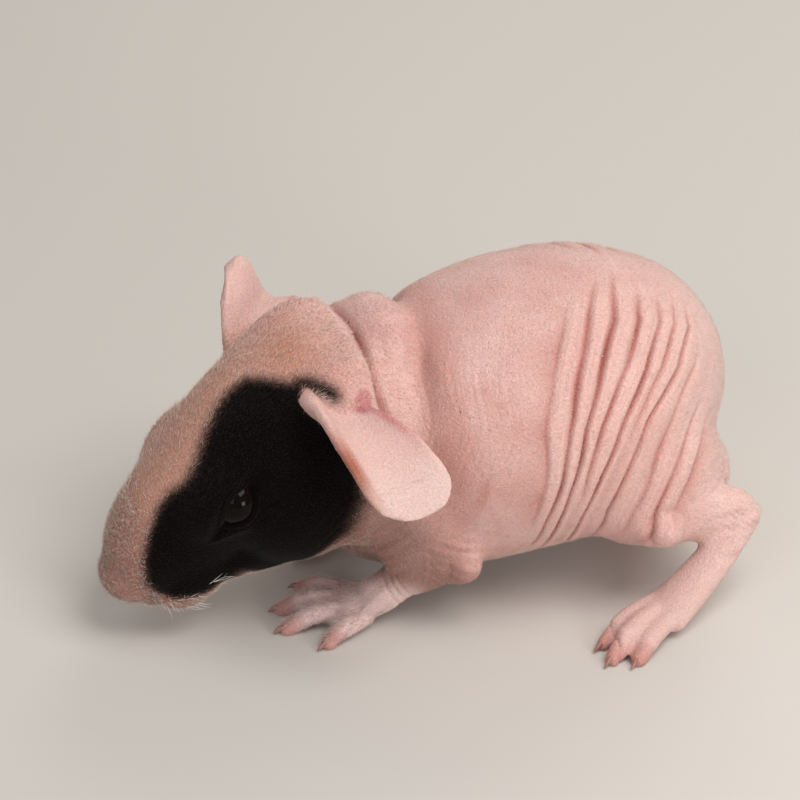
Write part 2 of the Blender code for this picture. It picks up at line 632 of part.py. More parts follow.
def ear_shell(spec, thick, rows=14, columns=10, grow=0.0):
    """The ear as a closed sheet, split into triangles alike on both faces."""
    middle = ear_grid(spec, rows, columns, grow)
    along = np.gradient(middle, axis=0)
    across = np.gradient(middle, axis=1)
    out = unit(np.cross(across, along))
    half = 0.5 * thick
    points = np.concatenate([(middle + out * half).reshape(-1, 3), (middle - out * half).reshape(-1, 3)])
    count = rows * columns
    faces = []
    for r in range(rows - 1):
        for c in range(columns - 1):
            a = r * columns + c
            b = a + 1
            d = a + columns
            e = d + 1
            faces += [(a, b, e), (a, e, d)]
            faces += [(count + a, count + e, count + b), (count + a, count + d, count + e)]
    rim = [c for c in range(columns)]
    rim += [r * columns + columns - 1 for r in range(1, rows)]
    rim += [(rows - 1) * columns + c for c in range(columns - 2, -1, -1)]
    rim += [r * columns for r in range(rows - 2, 0, -1)]
    for k in range(len(rim)):
        a = rim[k]
        b = rim[(k + 1) % len(rim)]
        faces += [(b, a, count + a), (b, count + a, count + b)]
    return points, faces


def outward(thing):
    """Turns every face of a closed mesh to point out."""
    work = bmesh.new()
    work.from_mesh(thing.data)
    bmesh.ops.recalc_face_normals(work, faces=work.faces)
    if work.calc_volume(signed=True) < 0:
        bmesh.ops.reverse_faces(work, faces=work.faces)
    work.to_mesh(thing.data)
    work.free()
    return thing


def keep_largest(thing):
    """Drops every loose scrap but the largest closed surface."""
    work = bmesh.new()
    work.from_mesh(thing.data)
    work.verts.ensure_lookup_table()
    seen = set()
    groups = []
    for seed in work.verts:
        if seed.index in seen:
            continue
        seen.add(seed.index)
        stack = [seed]
        group = []
        while stack:
            vert = stack.pop()
            group.append(vert)
            for edge in vert.link_edges:
                other = edge.other_vert(vert)
                if other.index not in seen:
                    seen.add(other.index)
                    stack.append(other)
        groups.append(group)
    groups.sort(key=len)
    scraps = [vert for group in groups[:-1] for vert in group]
    bmesh.ops.delete(work, geom=scraps, context="VERTS")
    work.to_mesh(thing.data)
    work.free()
    return thing


def region(name, planes, shift, mirror=False):
    """Convex block of space in front of all the planes, each moved in by the shift."""
    work = bmesh.new()
    bmesh.ops.create_cube(work, size=0.4)
    for point, direction in planes:
        point = np.array(point, float)
        direction = unit(direction)
        if mirror:
            point = point * (1.0, -1.0, 1.0)
            direction = direction * (1.0, -1.0, 1.0)
        place = (point + direction * shift) * MM
        geometry = work.verts[:] + work.edges[:] + work.faces[:]
        cut = bmesh.ops.bisect_plane(work, geom=geometry, dist=1e-7, plane_co=place,
                                     plane_no=direction, clear_inner=True)
        edges = [g for g in cut["geom_cut"] if isinstance(g, bmesh.types.BMEdge)]
        bmesh.ops.contextual_create(work, geom=edges)
    bmesh.ops.recalc_face_normals(work, faces=work.faces)
    mesh = bpy.data.meshes.new(name)
    work.to_mesh(mesh)
    work.free()
    block = bpy.data.objects.new(name, mesh)
    bpy.context.scene.collection.objects.link(block)
    return outward(block)


def cut_with(thing, tool, operation, bent=False):
    """Applies one Boolean and removes the tool; a bent tool may fold onto itself."""
    modifier = thing.modifiers.new("cut", "BOOLEAN")
    modifier.operation = operation
    modifier.solver = "EXACT"
    modifier.use_self = bent
    modifier.object = tool
    apply_modifiers(thing)
    bpy.data.objects.remove(tool, do_unlink=True)
    return thing


def thin_to(thing, triangles):
    """Fewer triangles, kept where the surface bends most."""
    thing.data.calc_loop_triangles()
    ratio = triangles / len(thing.data.loop_triangles)
    if ratio < 1.0:
        modifier = thing.modifiers.new("thin", "DECIMATE")
        modifier.ratio = ratio
        modifier.use_collapse_triangulate = True
        apply_modifiers(thing)
    return thing


def copy_of(thing, name):
    twin = bpy.data.objects.new(name, thing.data.copy())
    bpy.context.scene.collection.objects.link(twin)
    return twin


def part_of(skin, name, inside, outside, mirror=False):
    """One node: the skin inside one block of space and outside some others."""
    node = copy_of(skin, name)
    half = 0.5 * GAP
    cut_with(node, region("block", inside, half, mirror), "INTERSECT")
    for planes, flip in outside:
        cut_with(node, region("block", planes, -half, flip), "DIFFERENCE")
    return keep_largest(node)


FOREFOOT = (WRIST_CUT, PAW_INSIDE, PAW_TOP, PAW_FRONT)
FORELEG = (FORELEG_TOP, FORELEG_INSIDE, FORELEG_BACK, FORELEG_FRONT)
HINDFOOT = (ANKLE_CUT, FOOT_INSIDE)
HINDLEG = (HAUNCH_INSIDE, HAUNCH_TOP, HAUNCH_FRONT)


def backward(plane):
    return plane[0], tuple(-c for c in plane[1])


def rod(start, end, radii, sides):
    """Straight or tapering rod between two points, flat at both ends."""
    start = np.array(start, float)
    end = np.array(end, float)
    ahead = unit(end - start)
    side = unit(np.cross((0.0, 0.0, 1.0), ahead))
    up = np.cross(ahead, side)
    angle = np.arange(sides)[:, None] * 2 * math.pi / sides
    ring = np.cos(angle) * side + np.sin(angle) * up
    return np.vstack([start + radii[0] * ring, end + radii[1] * ring]), shell_faces(2, sides)


def claw_root(knuckle, tip, radius):
    """Where a toe ends and its claw starts, and the level direction of both."""
    ahead = unit((np.array(tip) - np.array(knuckle)) * np.array([1.0, 1.0, 0.0]))
    return np.array(tip) + ahead * (radius * 0.8 - CLAW_ROOT), ahead


def claw_shell(knuckle, tip, radius):
    """A short claw that leaves the flat end of the toe and bends to the ground."""
    root, ahead = claw_root(knuckle, tip, radius)
    root = root + ahead * GAP
    sides = 7
    angle = np.arange(sides)[:, None] * 2 * math.pi / sides
    side = np.cross((0.0, 0.0, 1.0), ahead)
    up = np.array([0.0, 0.0, 1.0])
    points = []
    for along, drop, size in ((0.0, 0.0, 1.0), (0.35, -0.02, 0.96), (0.7, 0.12, 0.66), (1.0, 0.42, 0.34)):
        centre = root + ahead * along * CLAW_LENGTH - up * drop
        points.append(centre + CLAW_RADIUS * size * (np.cos(angle) * side * 0.85 + np.sin(angle) * up))
    return np.vstack(points), shell_faces(len(points), sides)


def finish(node, name, slot, roughness):
    """Names a node, moves it to the model's origin and gives it its own material."""
    node.name = name
    node.data.name = name
    write_points(node, read_points(node) + ORIGIN_SHIFT)
    paint = bpy.data.materials.new(name)
    paint.use_nodes = True
    shader = paint.node_tree.nodes["Principled BSDF"]
    shader.inputs["Base Color"].default_value = (*COLOURS[slot], 1.0)
    shader.inputs["Roughness"].default_value = roughness
    shader.inputs["Metallic"].default_value = 0.0
    node.data.materials.clear()
    node.data.materials.append(paint)
    return node


def eye_centre(sign):
    return head_to_body(np.array([[0.0, sign * EYE_DEPTH_Y, -EYE_LOW]]))[0]


def add_shell(name, shell):
    return outward(new_mesh_object(name, *shell))


def make_head(skin):
    node = part_of(skin, "head", (HEAD_CUT, ABOVE_FEET), [])
    thin_to(node, TRIANGLES["head"])
    for sign in (1.0, -1.0):
        hole = add_shell("socket", ball(eye_centre(sign), (EYE_RADIUS + GAP,) * 3, rings=11, sides=16))
        cut_with(node, hole, "DIFFERENCE")
    for spec in EARS.values():
        slot = add_shell("slot", ear_shell(spec, EAR_THICK + 2 * GAP, grow=GAP))
        cut_with(node, slot, "DIFFERENCE", bent=True)
    return finish(keep_largest(node), "head", "skin", 0.6)


def make_eye(side, sign):
    node = add_shell("eye", ball(eye_centre(sign), (EYE_RADIUS,) * 3, rings=11, sides=16))
    return finish(node, side + "_eye", "eye", 0.05)


def make_ear(side):
    node = add_shell("ear", ear_shell(EARS[side], EAR_THICK))
    return finish(node, side + "_ear", "ear", 0.55)


def make_neck(skin):
    feet = [(FORELEG, False), (FORELEG, True), (FOREFOOT, False), (FOREFOOT, True)]
    node = part_of(skin, "neck", (NECK_CUT, backward(HEAD_CUT)), feet)
    thin_to(node, TRIANGLES["neck"])
    for spec in EARS.values():
        slot = add_shell("slot", ear_shell(spec, EAR_THICK + 2 * GAP, grow=GAP))
        cut_with(node, slot, "DIFFERENCE", bent=True)
    return finish(keep_largest(node), "neck", "skin", 0.6)


def make_torso(skin):
    limbs = [(planes, flip) for planes in (FORELEG, FOREFOOT, HINDLEG, HINDFOOT) for flip in (False, True)]
    node = part_of(skin, "torso", (backward(NECK_CUT),), limbs)
    thin_to(node, TRIANGLES["torso"])
    return finish(node, "torso", "skin", 0.6)


def make_foot(skin, name, planes, toes, shift, mirror, triangles):
    """A foot with flat soles, its claws let into the tips of its toes."""
    node = part_of(skin, name, planes, [], mirror)
    thin_to(node, triangles)
    for number, row in enumerate(toes, start=1):
        root, ahead = claw_root(*row[1:])
        end_cut = rod(root, root + 4.0 * ahead, (TIP_CUT_RADIUS, TIP_CUT_RADIUS), 16)
        claw = claw_shell(*row[1:])
        if mirror:
            end_cut = moved(mirrored(end_cut), shift)
            claw = moved(mirrored(claw), shift)
        cut_with(node, add_shell("end_cut", end_cut), "DIFFERENCE")
        finish(add_shell("claw", claw), name + "_claw_" + str(number), "claw", 0.35)
    cut_with(node, region("floor", (GROUND,), 0.0), "INTERSECT")
    return finish(keep_largest(node), name, "foot", 0.55)


def make_leg(skin, name, planes, outside, mirror, triangles):
    node = part_of(skin, name, planes, [(outside, mirror)], mirror)
    thin_to(node, triangles)
    return finish(node, name, "skin", 0.6)


def make_limbs(skin):
    for side, mirror in (("left", False), ("right", True)):
        make_leg(skin, side + "_foreleg", FORELEG, FOREFOOT, mirror, TRIANGLES["foreleg"])
        make_leg(skin, side + "_hindleg", HINDLEG, HINDFOOT, mirror, TRIANGLES["hindleg"])
        make_foot(skin, side + "_forefoot", FOREFOOT, FORE_TOES, RIGHT_FORE_SHIFT, mirror,
                  TRIANGLES["forefoot"])
        make_foot(skin, side + "_hindfoot", HINDFOOT, HIND_TOES, RIGHT_HIND_SHIFT, mirror,
                  TRIANGLES["hindfoot"])


skin = build_skin()
thin_to(skin, WORK_TRIANGLES)
make_head(skin)
make_neck(skin)
make_torso(skin)
make_limbs(skin)
for side, sign in (("left", 1.0), ("right", -1.0)):
    make_eye(side, sign)
    make_ear(side)
bpy.data.objects.remove(skin, do_unlink=True)
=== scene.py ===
# %% [markdown]
# # A skinny pig pup, life size
#
# A skinny pig is a guinea pig with almost no coat. What catches the eye is its skin: warm
# pink, loose enough to fold over the flank, and dusted with a short pale fuzz. The face
# wears a soft dark mask, the ears are thin petals, the eyes are wet black beads.
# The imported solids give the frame. One skin is grown over them here, then coloured,
# creased and given its fuzz.

import math

import bpy
import numpy as np
from mathutils import Euler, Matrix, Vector, kdtree


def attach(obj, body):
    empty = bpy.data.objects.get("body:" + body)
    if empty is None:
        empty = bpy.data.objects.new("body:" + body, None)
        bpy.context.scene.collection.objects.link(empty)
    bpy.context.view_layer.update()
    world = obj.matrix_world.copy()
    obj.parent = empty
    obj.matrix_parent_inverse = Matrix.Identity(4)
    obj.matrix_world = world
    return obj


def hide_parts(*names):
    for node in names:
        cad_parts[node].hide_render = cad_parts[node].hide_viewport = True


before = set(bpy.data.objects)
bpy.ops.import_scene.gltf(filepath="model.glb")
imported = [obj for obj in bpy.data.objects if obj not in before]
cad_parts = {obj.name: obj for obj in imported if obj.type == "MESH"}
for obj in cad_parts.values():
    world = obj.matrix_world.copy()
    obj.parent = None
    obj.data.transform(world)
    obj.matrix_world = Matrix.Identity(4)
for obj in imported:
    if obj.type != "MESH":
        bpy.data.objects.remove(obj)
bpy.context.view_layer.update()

# %% [markdown]
# ## Units and colours
#
# Shapes are worked out in millimetres, as a modeller would measure the animal, and turned
# to metres when a mesh is made. The solids stand with their box centred over the origin,
# so one shift takes the drawing's millimetres there. Colours are written the way a paint
# chart gives them and turned linear by one function.

# %% Units and colours
MM = 0.001
SOLE_Z = 0.75
ORIGIN_SHIFT = np.array([-12.4, -0.3, -SOLE_Z])


def linear(code):
    """Linear colour with alpha from an sRGB hex code."""
    parts = [int(code[i:i + 2], 16) / 255.0 for i in (1, 3, 5)]
    return (*[p / 12.92 if p <= 0.04045 else ((p + 0.055) / 1.055) ** 2.4 for p in parts], 1.0)


def place(point):
    """Drawing millimetres to scene metres."""
    return (np.asarray(point, float) + ORIGIN_SHIFT) * MM


print("mid grey is", round(linear("#808080")[0], 3), "in linear light")

# %% [markdown]
# ## Camera
#
# The photograph looks down on the left side from a little behind the shoulder line,
# with a long lens. A long lens flattens the head against the body, so the camera stands
# 56 cm off with a narrow view.

# %% Camera
VIEW_TARGET = np.array([14.7, 0.0, 33.0])
VIEW_TURN = 13.0
VIEW_RISE = 33.0
VIEW_DISTANCE = 560.0
FOCAL_LENGTH = 156.2
FILM_WIDTH = 36.0


def aim(thing, start, goal):
    """Puts a light or camera at a point and turns it to another."""
    start = Vector(start)
    thing.location = start
    thing.rotation_euler = (Vector(goal) - start).to_track_quat("-Z", "Y").to_euler()


turn = math.radians(VIEW_TURN)
rise = math.radians(VIEW_RISE)
toward = np.array([math.sin(turn) * math.cos(rise), math.cos(turn) * math.cos(rise), math.sin(rise)])
lens = bpy.data.cameras.new("camera")
lens.lens = FOCAL_LENGTH
lens.sensor_width = FILM_WIDTH
lens.clip_start = 0.01
lens.clip_end = 20.0
camera = bpy.data.objects.new("camera", lens)
bpy.context.scene.collection.objects.link(camera)
aim(camera, place(VIEW_TARGET + VIEW_DISTANCE * toward), place(VIEW_TARGET))
bpy.context.scene.camera = camera
print("camera at", [round(v, 3) for v in camera.location])

# %% [markdown]
# ## Floor and light
#
# Light comes from one big soft box above and to the right, as on a bright overcast day,
# with a weaker fill on the left and one from behind. A small low box gives the wet eye
# its glint. The floor is a wide sheet of matt backdrop paper, so it shows no highlight
# and no edge.

# %% Floor and light
ANIMAL_MIDDLE = (0.0, 0.0, 0.025)
SOFT_BOXES = (
    ("key", (-0.20, 0.22, 0.62), 0.40, 3.0, "#fffdfb"),
    ("fill", (0.50, 0.62, 0.50), 0.50, 1.5, "#f6f7ff"),
    ("glint", (-0.16, 0.355, 0.12), 0.12, 0.46, "#ffffff"),
    ("back", (-0.35, -0.55, 0.40), 0.50, 1.7, "#fff9f4"),
)
SKY_TINT = "#e9e6e2"
SKY_STRENGTH = 0.36
PAPER_TINT = "#cdc8c1"
PAPER_HALF_WIDTH = 3


def soft_box(name, position, size, power, tint):
    """A square area light aimed at the animal's middle."""
    light = bpy.data.lights.new(name, "AREA")
    light.shape = "SQUARE"
    light.size = size
    light.energy = power
    light.color = linear(tint)[:3]
    made = bpy.data.objects.new(name, light)
    bpy.context.scene.collection.objects.link(made)
    aim(made, position, ANIMAL_MIDDLE)


def blank_material(name):
    """A named material with only its shader and output."""
    made = bpy.data.materials.new(name)
    made.use_nodes = True
    return made, made.node_tree, made.node_tree.nodes["Principled BSDF"]


for box in SOFT_BOXES:
    soft_box(*box)
world = bpy.data.worlds.new("studio")
bpy.context.scene.world = world
world.use_nodes = True
sky = world.node_tree.nodes["Background"].inputs
sky["Color"].default_value = linear(SKY_TINT)
sky["Strength"].default_value = SKY_STRENGTH

far = PAPER_HALF_WIDTH
floor_mesh = bpy.data.meshes.new("floor")
floor_mesh.from_pydata([(-far, -far, 0), (far, -far, 0), (far, far, 0), (-far, far, 0)], [], [(0, 1, 2, 3)])
floor = bpy.data.objects.new("floor", floor_mesh)
bpy.context.scene.collection.objects.link(floor)
paper, _, paper_shader = blank_material("backdrop_paper")
paper_shader.inputs["Base Color"].default_value = linear(PAPER_TINT)
paper_shader.inputs["Roughness"].default_value = 0.85
floor_mesh.materials.append(paper)
print(len(SOFT_BOXES), "soft boxes over", 2 * far, "m of paper")

# %% [markdown]
# ## The body as a set of soft masses
#
# A body can be drawn as tubes and balls that overlap: a barrel for the trunk, a cone for
# the skull, thin chains for the limbs. Fused and softened they read as flesh over bone.
# The sizes below are the animal's own, in millimetres, and are the ones that the solids
# were cut from, so the skin lands on them.

# %% Sizes of trunk, neck and head
HEAD_PLACE = np.array([47.1, 5.1, 28.9])
HEAD_YAW = 10.0
HEAD_PITCH = 34.6
HEAD_ROLL = -5.5

TRUNK = (
    (-32.6, 0.0, 25.0, 11.5, 12.8, 11.0),
    (-28.6, 0.0, 27.0, 16.8, 18.6, 16.5),
    (-22.0, 0.0, 29.2, 21.4, 23.3, 20.3),
    (-13.5, 0.0, 30.0, 24.2, 25.0, 23.0),
    (-4.0, 0.0, 30.0, 24.8, 24.4, 24.0),
    (6.0, 0.0, 29.0, 23.5, 22.3, 24.8),
    (14.0, 0.2, 28.5, 20.3, 19.6, 24.5),
    (21.0, 0.6, 30.0, 16.5, 15.2, 21.5),
    (27.0, 1.2, 32.0, 13.0, 13.5, 16.0),
)
NECK = (
    (8.0, 0.0, 29.0, 16.0, 18.6, 20.0),
    (16.0, 0.8, 31.5, 17.0, 14.6, 19.0),
    (23.0, 1.8, 33.5, 16.7, 12.8, 17.5),
    (30.0, 2.8, 33.6, 15.6, 12.0, 15.5),
    (37.0, 4.0, 32.5, 12.5, 11.0, 12.0),
)
SKULL = (
    (-34.0, 0.0, -3.0, 10.0, 5.8, 8.0),
    (-29.0, 0.0, -4.5, 12.6, 10.0, 10.5),
    (-21.0, 0.0, -4.5, 14.6, 13.6, 11.5),
    (-12.0, 0.0, -5.0, 14.6, 15.4, 11.0),
    (-4.0, 0.0, -5.0, 12.8, 15.0, 10.0),
    (4.0, 0.0, -5.0, 10.8, 13.3, 9.5),
    (11.0, 0.0, -5.2, 9.4, 11.1, 9.0),
    (16.6, 0.0, -5.6, 8.6, 8.5, 8.0),
    (19.6, 0.0, -5.9, 7.2, 6.6, 7.2),
    (21.8, 0.0, -6.2, 5.5, 4.4, 5.9),
)
JAW = (
    (-24.0, 0.0, -9.5, 12.4, 6.0, 10.4),
    (-15.0, 0.0, -11.0, 14.8, 6.0, 12.6),
    (-6.0, 0.0, -12.0, 14.2, 5.0, 12.4),
    (2.0, 0.0, -12.8, 11.8, 4.0, 10.4),
    (8.5, 0.0, -12.8, 8.6, 3.0, 6.6),
    (13.6, 0.0, -12.0, 5.2, 2.2, 3.4),
    (16.2, 0.0, -11.6, 3.4, 1.5, 2.0),
)
HEAD_MASSES = (
    ((-9.0, 8.1, -10.2), (13.0, 9.0, 11.6), 8.0),
    ((-1.0, 6.2, -0.6), (11.0, 6.2, 7.0), 12.0),
    ((13.2, 4.2, -10.4), (7.8, 5.0, 5.6), 8.0),
    ((-21.5, 8.2, 1.0), (9.5, 5.8, 6.6), 0.0),
    ((20.6, 1.8, -11.5), (2.5, 2.6, 2.0), 0.0),
)
NOSE_PAD = ((21.2, 0.0, -6.8), (4.2, 5.9, 3.6), 0.0)
EAR_STALK = ((32.0, 14.8, 44.3), (2.3, 2.8, 1.9), 0.0)
SHOULDER = ((13.0, 11.5, 23.0), (11.0, 9.0, 15.0), -8.0)
THIGH = ((-23.0, 13.6, 22.5), (13.0, 9.8, 13.0), 10.0)
KNEE = ((-24.0, 22.6, 16.4), (4.4, 3.0, 3.2), 20.0)
BUTTOCK = ((-31.5, 9.5, 19.0), (7.0, 7.5, 8.0), 0.0)
ELBOW = ((9.2, 19.6, 12.4), (3.6, 2.6, 3.0), 0.0)
CHEST_HEM = ((13.6, 15.6, 14.6), (8.6, 5.0, 5.3), -8.0)
JOWL = ((24.0, 9.6, 25.0), (9.0, 9.0, 10.5), 20.0)
CHEST = ((16.0, 0.5, 18.0), (14.0, 13.5, 14.0), 0.0)
print("stations: trunk", len(TRUNK), "neck", len(NECK), "skull", len(SKULL), "jaw_shade", len(JAW))

# %% [markdown]
# The legs are thin chains with flat pads. Each toe is given by its root, knuckle, tip and
# radius. The right feet stand a little off from the mirror image of the left ones.

# %% Sizes of legs and toes
FOREARM = (
    (8.5, 17.5, 16.5, 4.6, 5.2),
    (13.0, 16.6, 12.2, 3.9, 4.2),
    (18.3, 14.8, 8.2, 3.3, 3.2),
    (22.0, 13.9, 5.6, 3.5, 2.8),
)
FORE_PALM = (
    (19.0, 14.8, 7.0, 3.3, 2.9),
    (23.0, 13.4, 4.3, 4.3, 2.6),
    (27.5, 12.2, 2.8, 4.9, 2.2),
)
FORE_TOES = (
    ((26.0, 8.6, 3.2), (30.0, 6.0, 3.0), (32.6, 4.4, 1.6), 1.45),
    ((27.0, 11.2, 3.2), (32.5, 10.2, 3.4), (36.6, 9.5, 1.6), 1.65),
    ((26.8, 14.0, 3.2), (32.5, 14.4, 3.4), (36.8, 14.8, 1.6), 1.7),
    ((24.2, 16.4, 3.0), (28.4, 18.6, 2.9), (31.1, 20.1, 1.6), 1.6),
)
SHANK = (
    (-22.0, 18.5, 18.0, 5.5, 6.0),
    (-30.0, 18.6, 17.0, 4.6, 5.2),
    (-36.6, 19.0, 16.6, 3.2, 3.6),
)
HIND_SOLE = (
    (-38.0, 19.6, 15.6, 2.9, 3.0),
    (-34.5, 21.6, 12.0, 3.2, 2.8),
    (-29.0, 24.4, 7.4, 3.7, 2.7),
    (-23.0, 27.0, 3.4, 4.6, 2.4),
)
HIND_TOES = (
    ((-23.0, 23.8, 4.2), (-16.4, 27.4, 4.0), (-11.8, 30.4, 1.7), 1.5),
    ((-22.5, 26.0, 4.0), (-16.6, 30.7, 4.1), (-12.3, 34.4, 1.7), 1.75),
    ((-23.5, 28.2, 3.5), (-19.2, 32.6, 3.5), (-16.2, 35.6, 1.7), 1.7),
)
RIGHT_FORE_SHIFT = np.array([-2.5, -0.8, 0.0])
RIGHT_HIND_SHIFT = np.array([2.0, 0.6, 0.0])
print("toes a side", len(FORE_TOES), "and", len(HIND_TOES))

# %% [markdown]
# ## Tubes and balls
#
# Three helpers are used everywhere: a soft fade between two values, a smooth curve through
# station rows, and directions of length one.

# %% Fades, curves and directions
def smooth_step(low, high, value):
    """Fade from 0 at low to 1 at high, flat at both ends."""
    t = np.clip((value - low) / (high - low), 0.0, 1.0)
    return t * t * (3.0 - 2.0 * t)


def smooth_rows(rows, count):
    """Station rows resampled along a smooth curve through them."""
    rows = np.array(rows, float)
    last = len(rows) - 1
    t = np.linspace(0.0, last, count)
    i = np.clip(t.astype(int), 0, last - 1)
    u = (t - i)[:, None]
    p0 = rows[np.maximum(i - 1, 0)]
    p1 = rows[i]
    p2 = rows[i + 1]
    p3 = rows[np.minimum(i + 2, last)]
    return 0.5 * (2 * p1 + (p2 - p0) * u + (2 * p0 - 5 * p1 + 4 * p2 - p3) * u ** 2
                  + (3 * p1 - p0 - 3 * p2 + p3) * u ** 3)


def unit(v):
    """Vectors scaled to length one."""
    v = np.asarray(v, float)
    return v / np.maximum(np.linalg.norm(v, axis=-1, keepdims=True), 1e-9)


print("a fade in four steps", smooth_step(0.0, 1.0, np.linspace(0.0, 1.0, 5)).round(2))

# %% [markdown]
# A tube is lofted: a ring of points is set round each station and neighbours are joined by
# quads. Its ends are closed by smaller and smaller rings, so they are round.

# %% Tubes
END_BEND = math.radians(84.0)


def shell_faces(rings, sides):
    """Quads of a lofted tube, with a flat face closing each end."""
    faces = []
    for r in range(rings - 1):
        for s in range(sides):
            n = (s + 1) % sides
            faces.append((r * sides + s, r * sides + n, (r + 1) * sides + n, (r + 1) * sides + s))
    faces.append(tuple(reversed(range(sides))))
    faces.append(tuple(range((rings - 1) * sides, rings * sides)))
    return faces


def loft(rows, sides=56, per_station=5, round_ends=3, bulge=1.0):
    """Tube through stations of centre, half width, rise and drop, with rounded ends."""
    rows = np.array(rows, float)
    if rows.shape[1] == 5:
        rows = np.column_stack([rows, rows[:, 4]])
    rows = smooth_rows(rows, (len(rows) - 1) * per_station + 1)
    ahead = unit(np.gradient(rows[:, :3], axis=0))
    for end, sign in ((0, -1.0), (-1, 1.0)):
        extra = []
        reach = rows[end, 3:].min() * bulge
        for k in range(1, round_ends + 1):
            bend = END_BEND * k / round_ends
            row = rows[end].copy()
            row[:3] += ahead[end] * sign * reach * math.sin(bend)
            row[3:] *= math.cos(bend)
            extra.append(row)
        tangents = [ahead[end]] * round_ends
        if end == 0:
            rows = np.vstack([extra[::-1], rows])
            ahead = np.vstack([tangents, ahead])
        else:
            rows = np.vstack([rows, extra])
            ahead = np.vstack([ahead, tangents])
    side = unit(np.cross((0.0, 0.0, 1.0), ahead))
    up = np.cross(ahead, side)
    angle = np.arange(sides) * 2 * math.pi / sides
    c = np.cos(angle)
    s = np.sin(angle)
    height = np.where(s[None, :] >= 0, rows[:, 4:5], rows[:, 5:6]) * s[None, :]
    width = rows[:, 3:4] * c[None, :]
    points = (rows[:, None, :3] + side[:, None, :] * width[:, :, None]
              + up[:, None, :] * height[:, :, None])
    return points.reshape(-1, 3), shell_faces(len(rows), sides)


print("trunk tube", len(loft(TRUNK, bulge=0.35)[0]), "points")

# %% [markdown]
# Balls are squashed spheres that can be turned about the vertical. The right side of the
# body is the left one mirrored, with its faces turned over so that they still look outward.

# %% Balls and mirror images
POLE_GAP = 0.04


def ball(centre, radii, turned=0.0, rings=24, sides=36):
    """Ellipsoid with its long axis turned about the vertical."""
    phi = np.linspace(POLE_GAP, math.pi - POLE_GAP, rings)
    angle = np.arange(sides) * 2 * math.pi / sides
    x = np.cos(phi)[:, None] * np.ones(sides)[None, :]
    y = -np.sin(phi)[:, None] * np.cos(angle)[None, :]
    z = np.sin(phi)[:, None] * np.sin(angle)[None, :]
    points = np.stack([x, y, z], -1).reshape(-1, 3) * np.array(radii)
    a = math.radians(turned)
    spin = np.array([[math.cos(a), -math.sin(a), 0.0], [math.sin(a), math.cos(a), 0.0], [0.0, 0.0, 1.0]])
    return points @ spin.T + np.array(centre), shell_faces(rings, sides)


def mirrored(shell):
    """The same shell on the other side of the body."""
    points, faces = shell
    return points * np.array([1.0, -1.0, 1.0]), [tuple(reversed(f)) for f in faces]


def moved(shell, shift):
    """The same shell a little way off."""
    return shell[0] + shift, shell[1]


print("knee ball", len(ball(*KNEE)[0]), "points")

# %% [markdown]
# ## Where the head points
#
# The head has its own frame, with its origin between the eyes. It is lowered and turned
# a little to its left, so all face work is done there and turned back at the end.

# %% Head frame
head_turn = np.array(Euler((math.radians(HEAD_ROLL), math.radians(HEAD_PITCH),
                            math.radians(HEAD_YAW)), "XYZ").to_matrix())


def head_to_body(points):
    """Points of the head's frame in the body's frame."""
    return np.asarray(points, float) @ head_turn.T + HEAD_PLACE


def body_to_head(points):
    """Points of the body's frame in the head's frame."""
    return (np.asarray(points, float) - HEAD_PLACE) @ head_turn


middle = body_to_head([HEAD_PLACE])[0]
print("the head's own zero", middle.round(3))

# %% [markdown]
# Now the masses are listed: tubes for trunk, neck, skull, jaw and limbs, and balls where
# muscle, bone or loose skin rounds the body out.

# %% The list of masses
def toe(root, knuckle, tip, radius):
    """A toe from its root over the knuckle to the pad at its tip."""
    rows = (
        (*root, radius * 1.0, radius * 1.0),
        (*knuckle, radius * 1.08, radius * 1.02),
        (*(0.45 * np.array(knuckle) + 0.55 * np.array(tip)), radius * 0.92, radius * 0.9),
        (*tip, radius * 0.8, radius * 0.8),
    )
    return loft(rows, sides=14, per_station=4)


def limb_shells(side):
    """Every mass of the two legs of one side."""
    fore = [loft(FOREARM, sides=18), loft(FORE_PALM, sides=18)]
    fore += [toe(*row) for row in FORE_TOES]
    hind = [loft(SHANK, sides=18), loft(HIND_SOLE, sides=18)]
    hind += [toe(*row) for row in HIND_TOES]
    if side == "right":
        fore = [moved(mirrored(s), RIGHT_FORE_SHIFT) for s in fore]
        hind = [moved(mirrored(s), RIGHT_HIND_SHIFT) for s in hind]
    return fore + hind


def body_shells():
    """Every mass of the animal but the ears, in the body's frame."""
    shells = [loft(TRUNK, bulge=0.35), loft(NECK), ball(*CHEST)]
    for mass in (SHOULDER, THIGH, KNEE, BUTTOCK, ELBOW, CHEST_HEM, JOWL):
        shells += [ball(*mass), mirrored(ball(*mass))]
    shells += limb_shells("left") + limb_shells("right")
    head = [loft(SKULL), loft(JAW, sides=32), ball(*NOSE_PAD)]
    for mass in HEAD_MASSES:
        head += [ball(*mass), mirrored(ball(*mass))]
    shells.append(ball(*EAR_STALK))
    return shells + [(head_to_body(p), f) for p, f in head]


BODY_SHELLS = body_shells()
print(len(BODY_SHELLS), "masses")

# %% [markdown]
# ## Ears
#
# A guinea pig's ear is a thin petal that rises from a short stalk, arches over and hangs.
# Each is a sheet between two rims. A rim is an arc from its base to its far end, and the
# sheet between them is hollowed, so light pools in it as it does in the real cup.

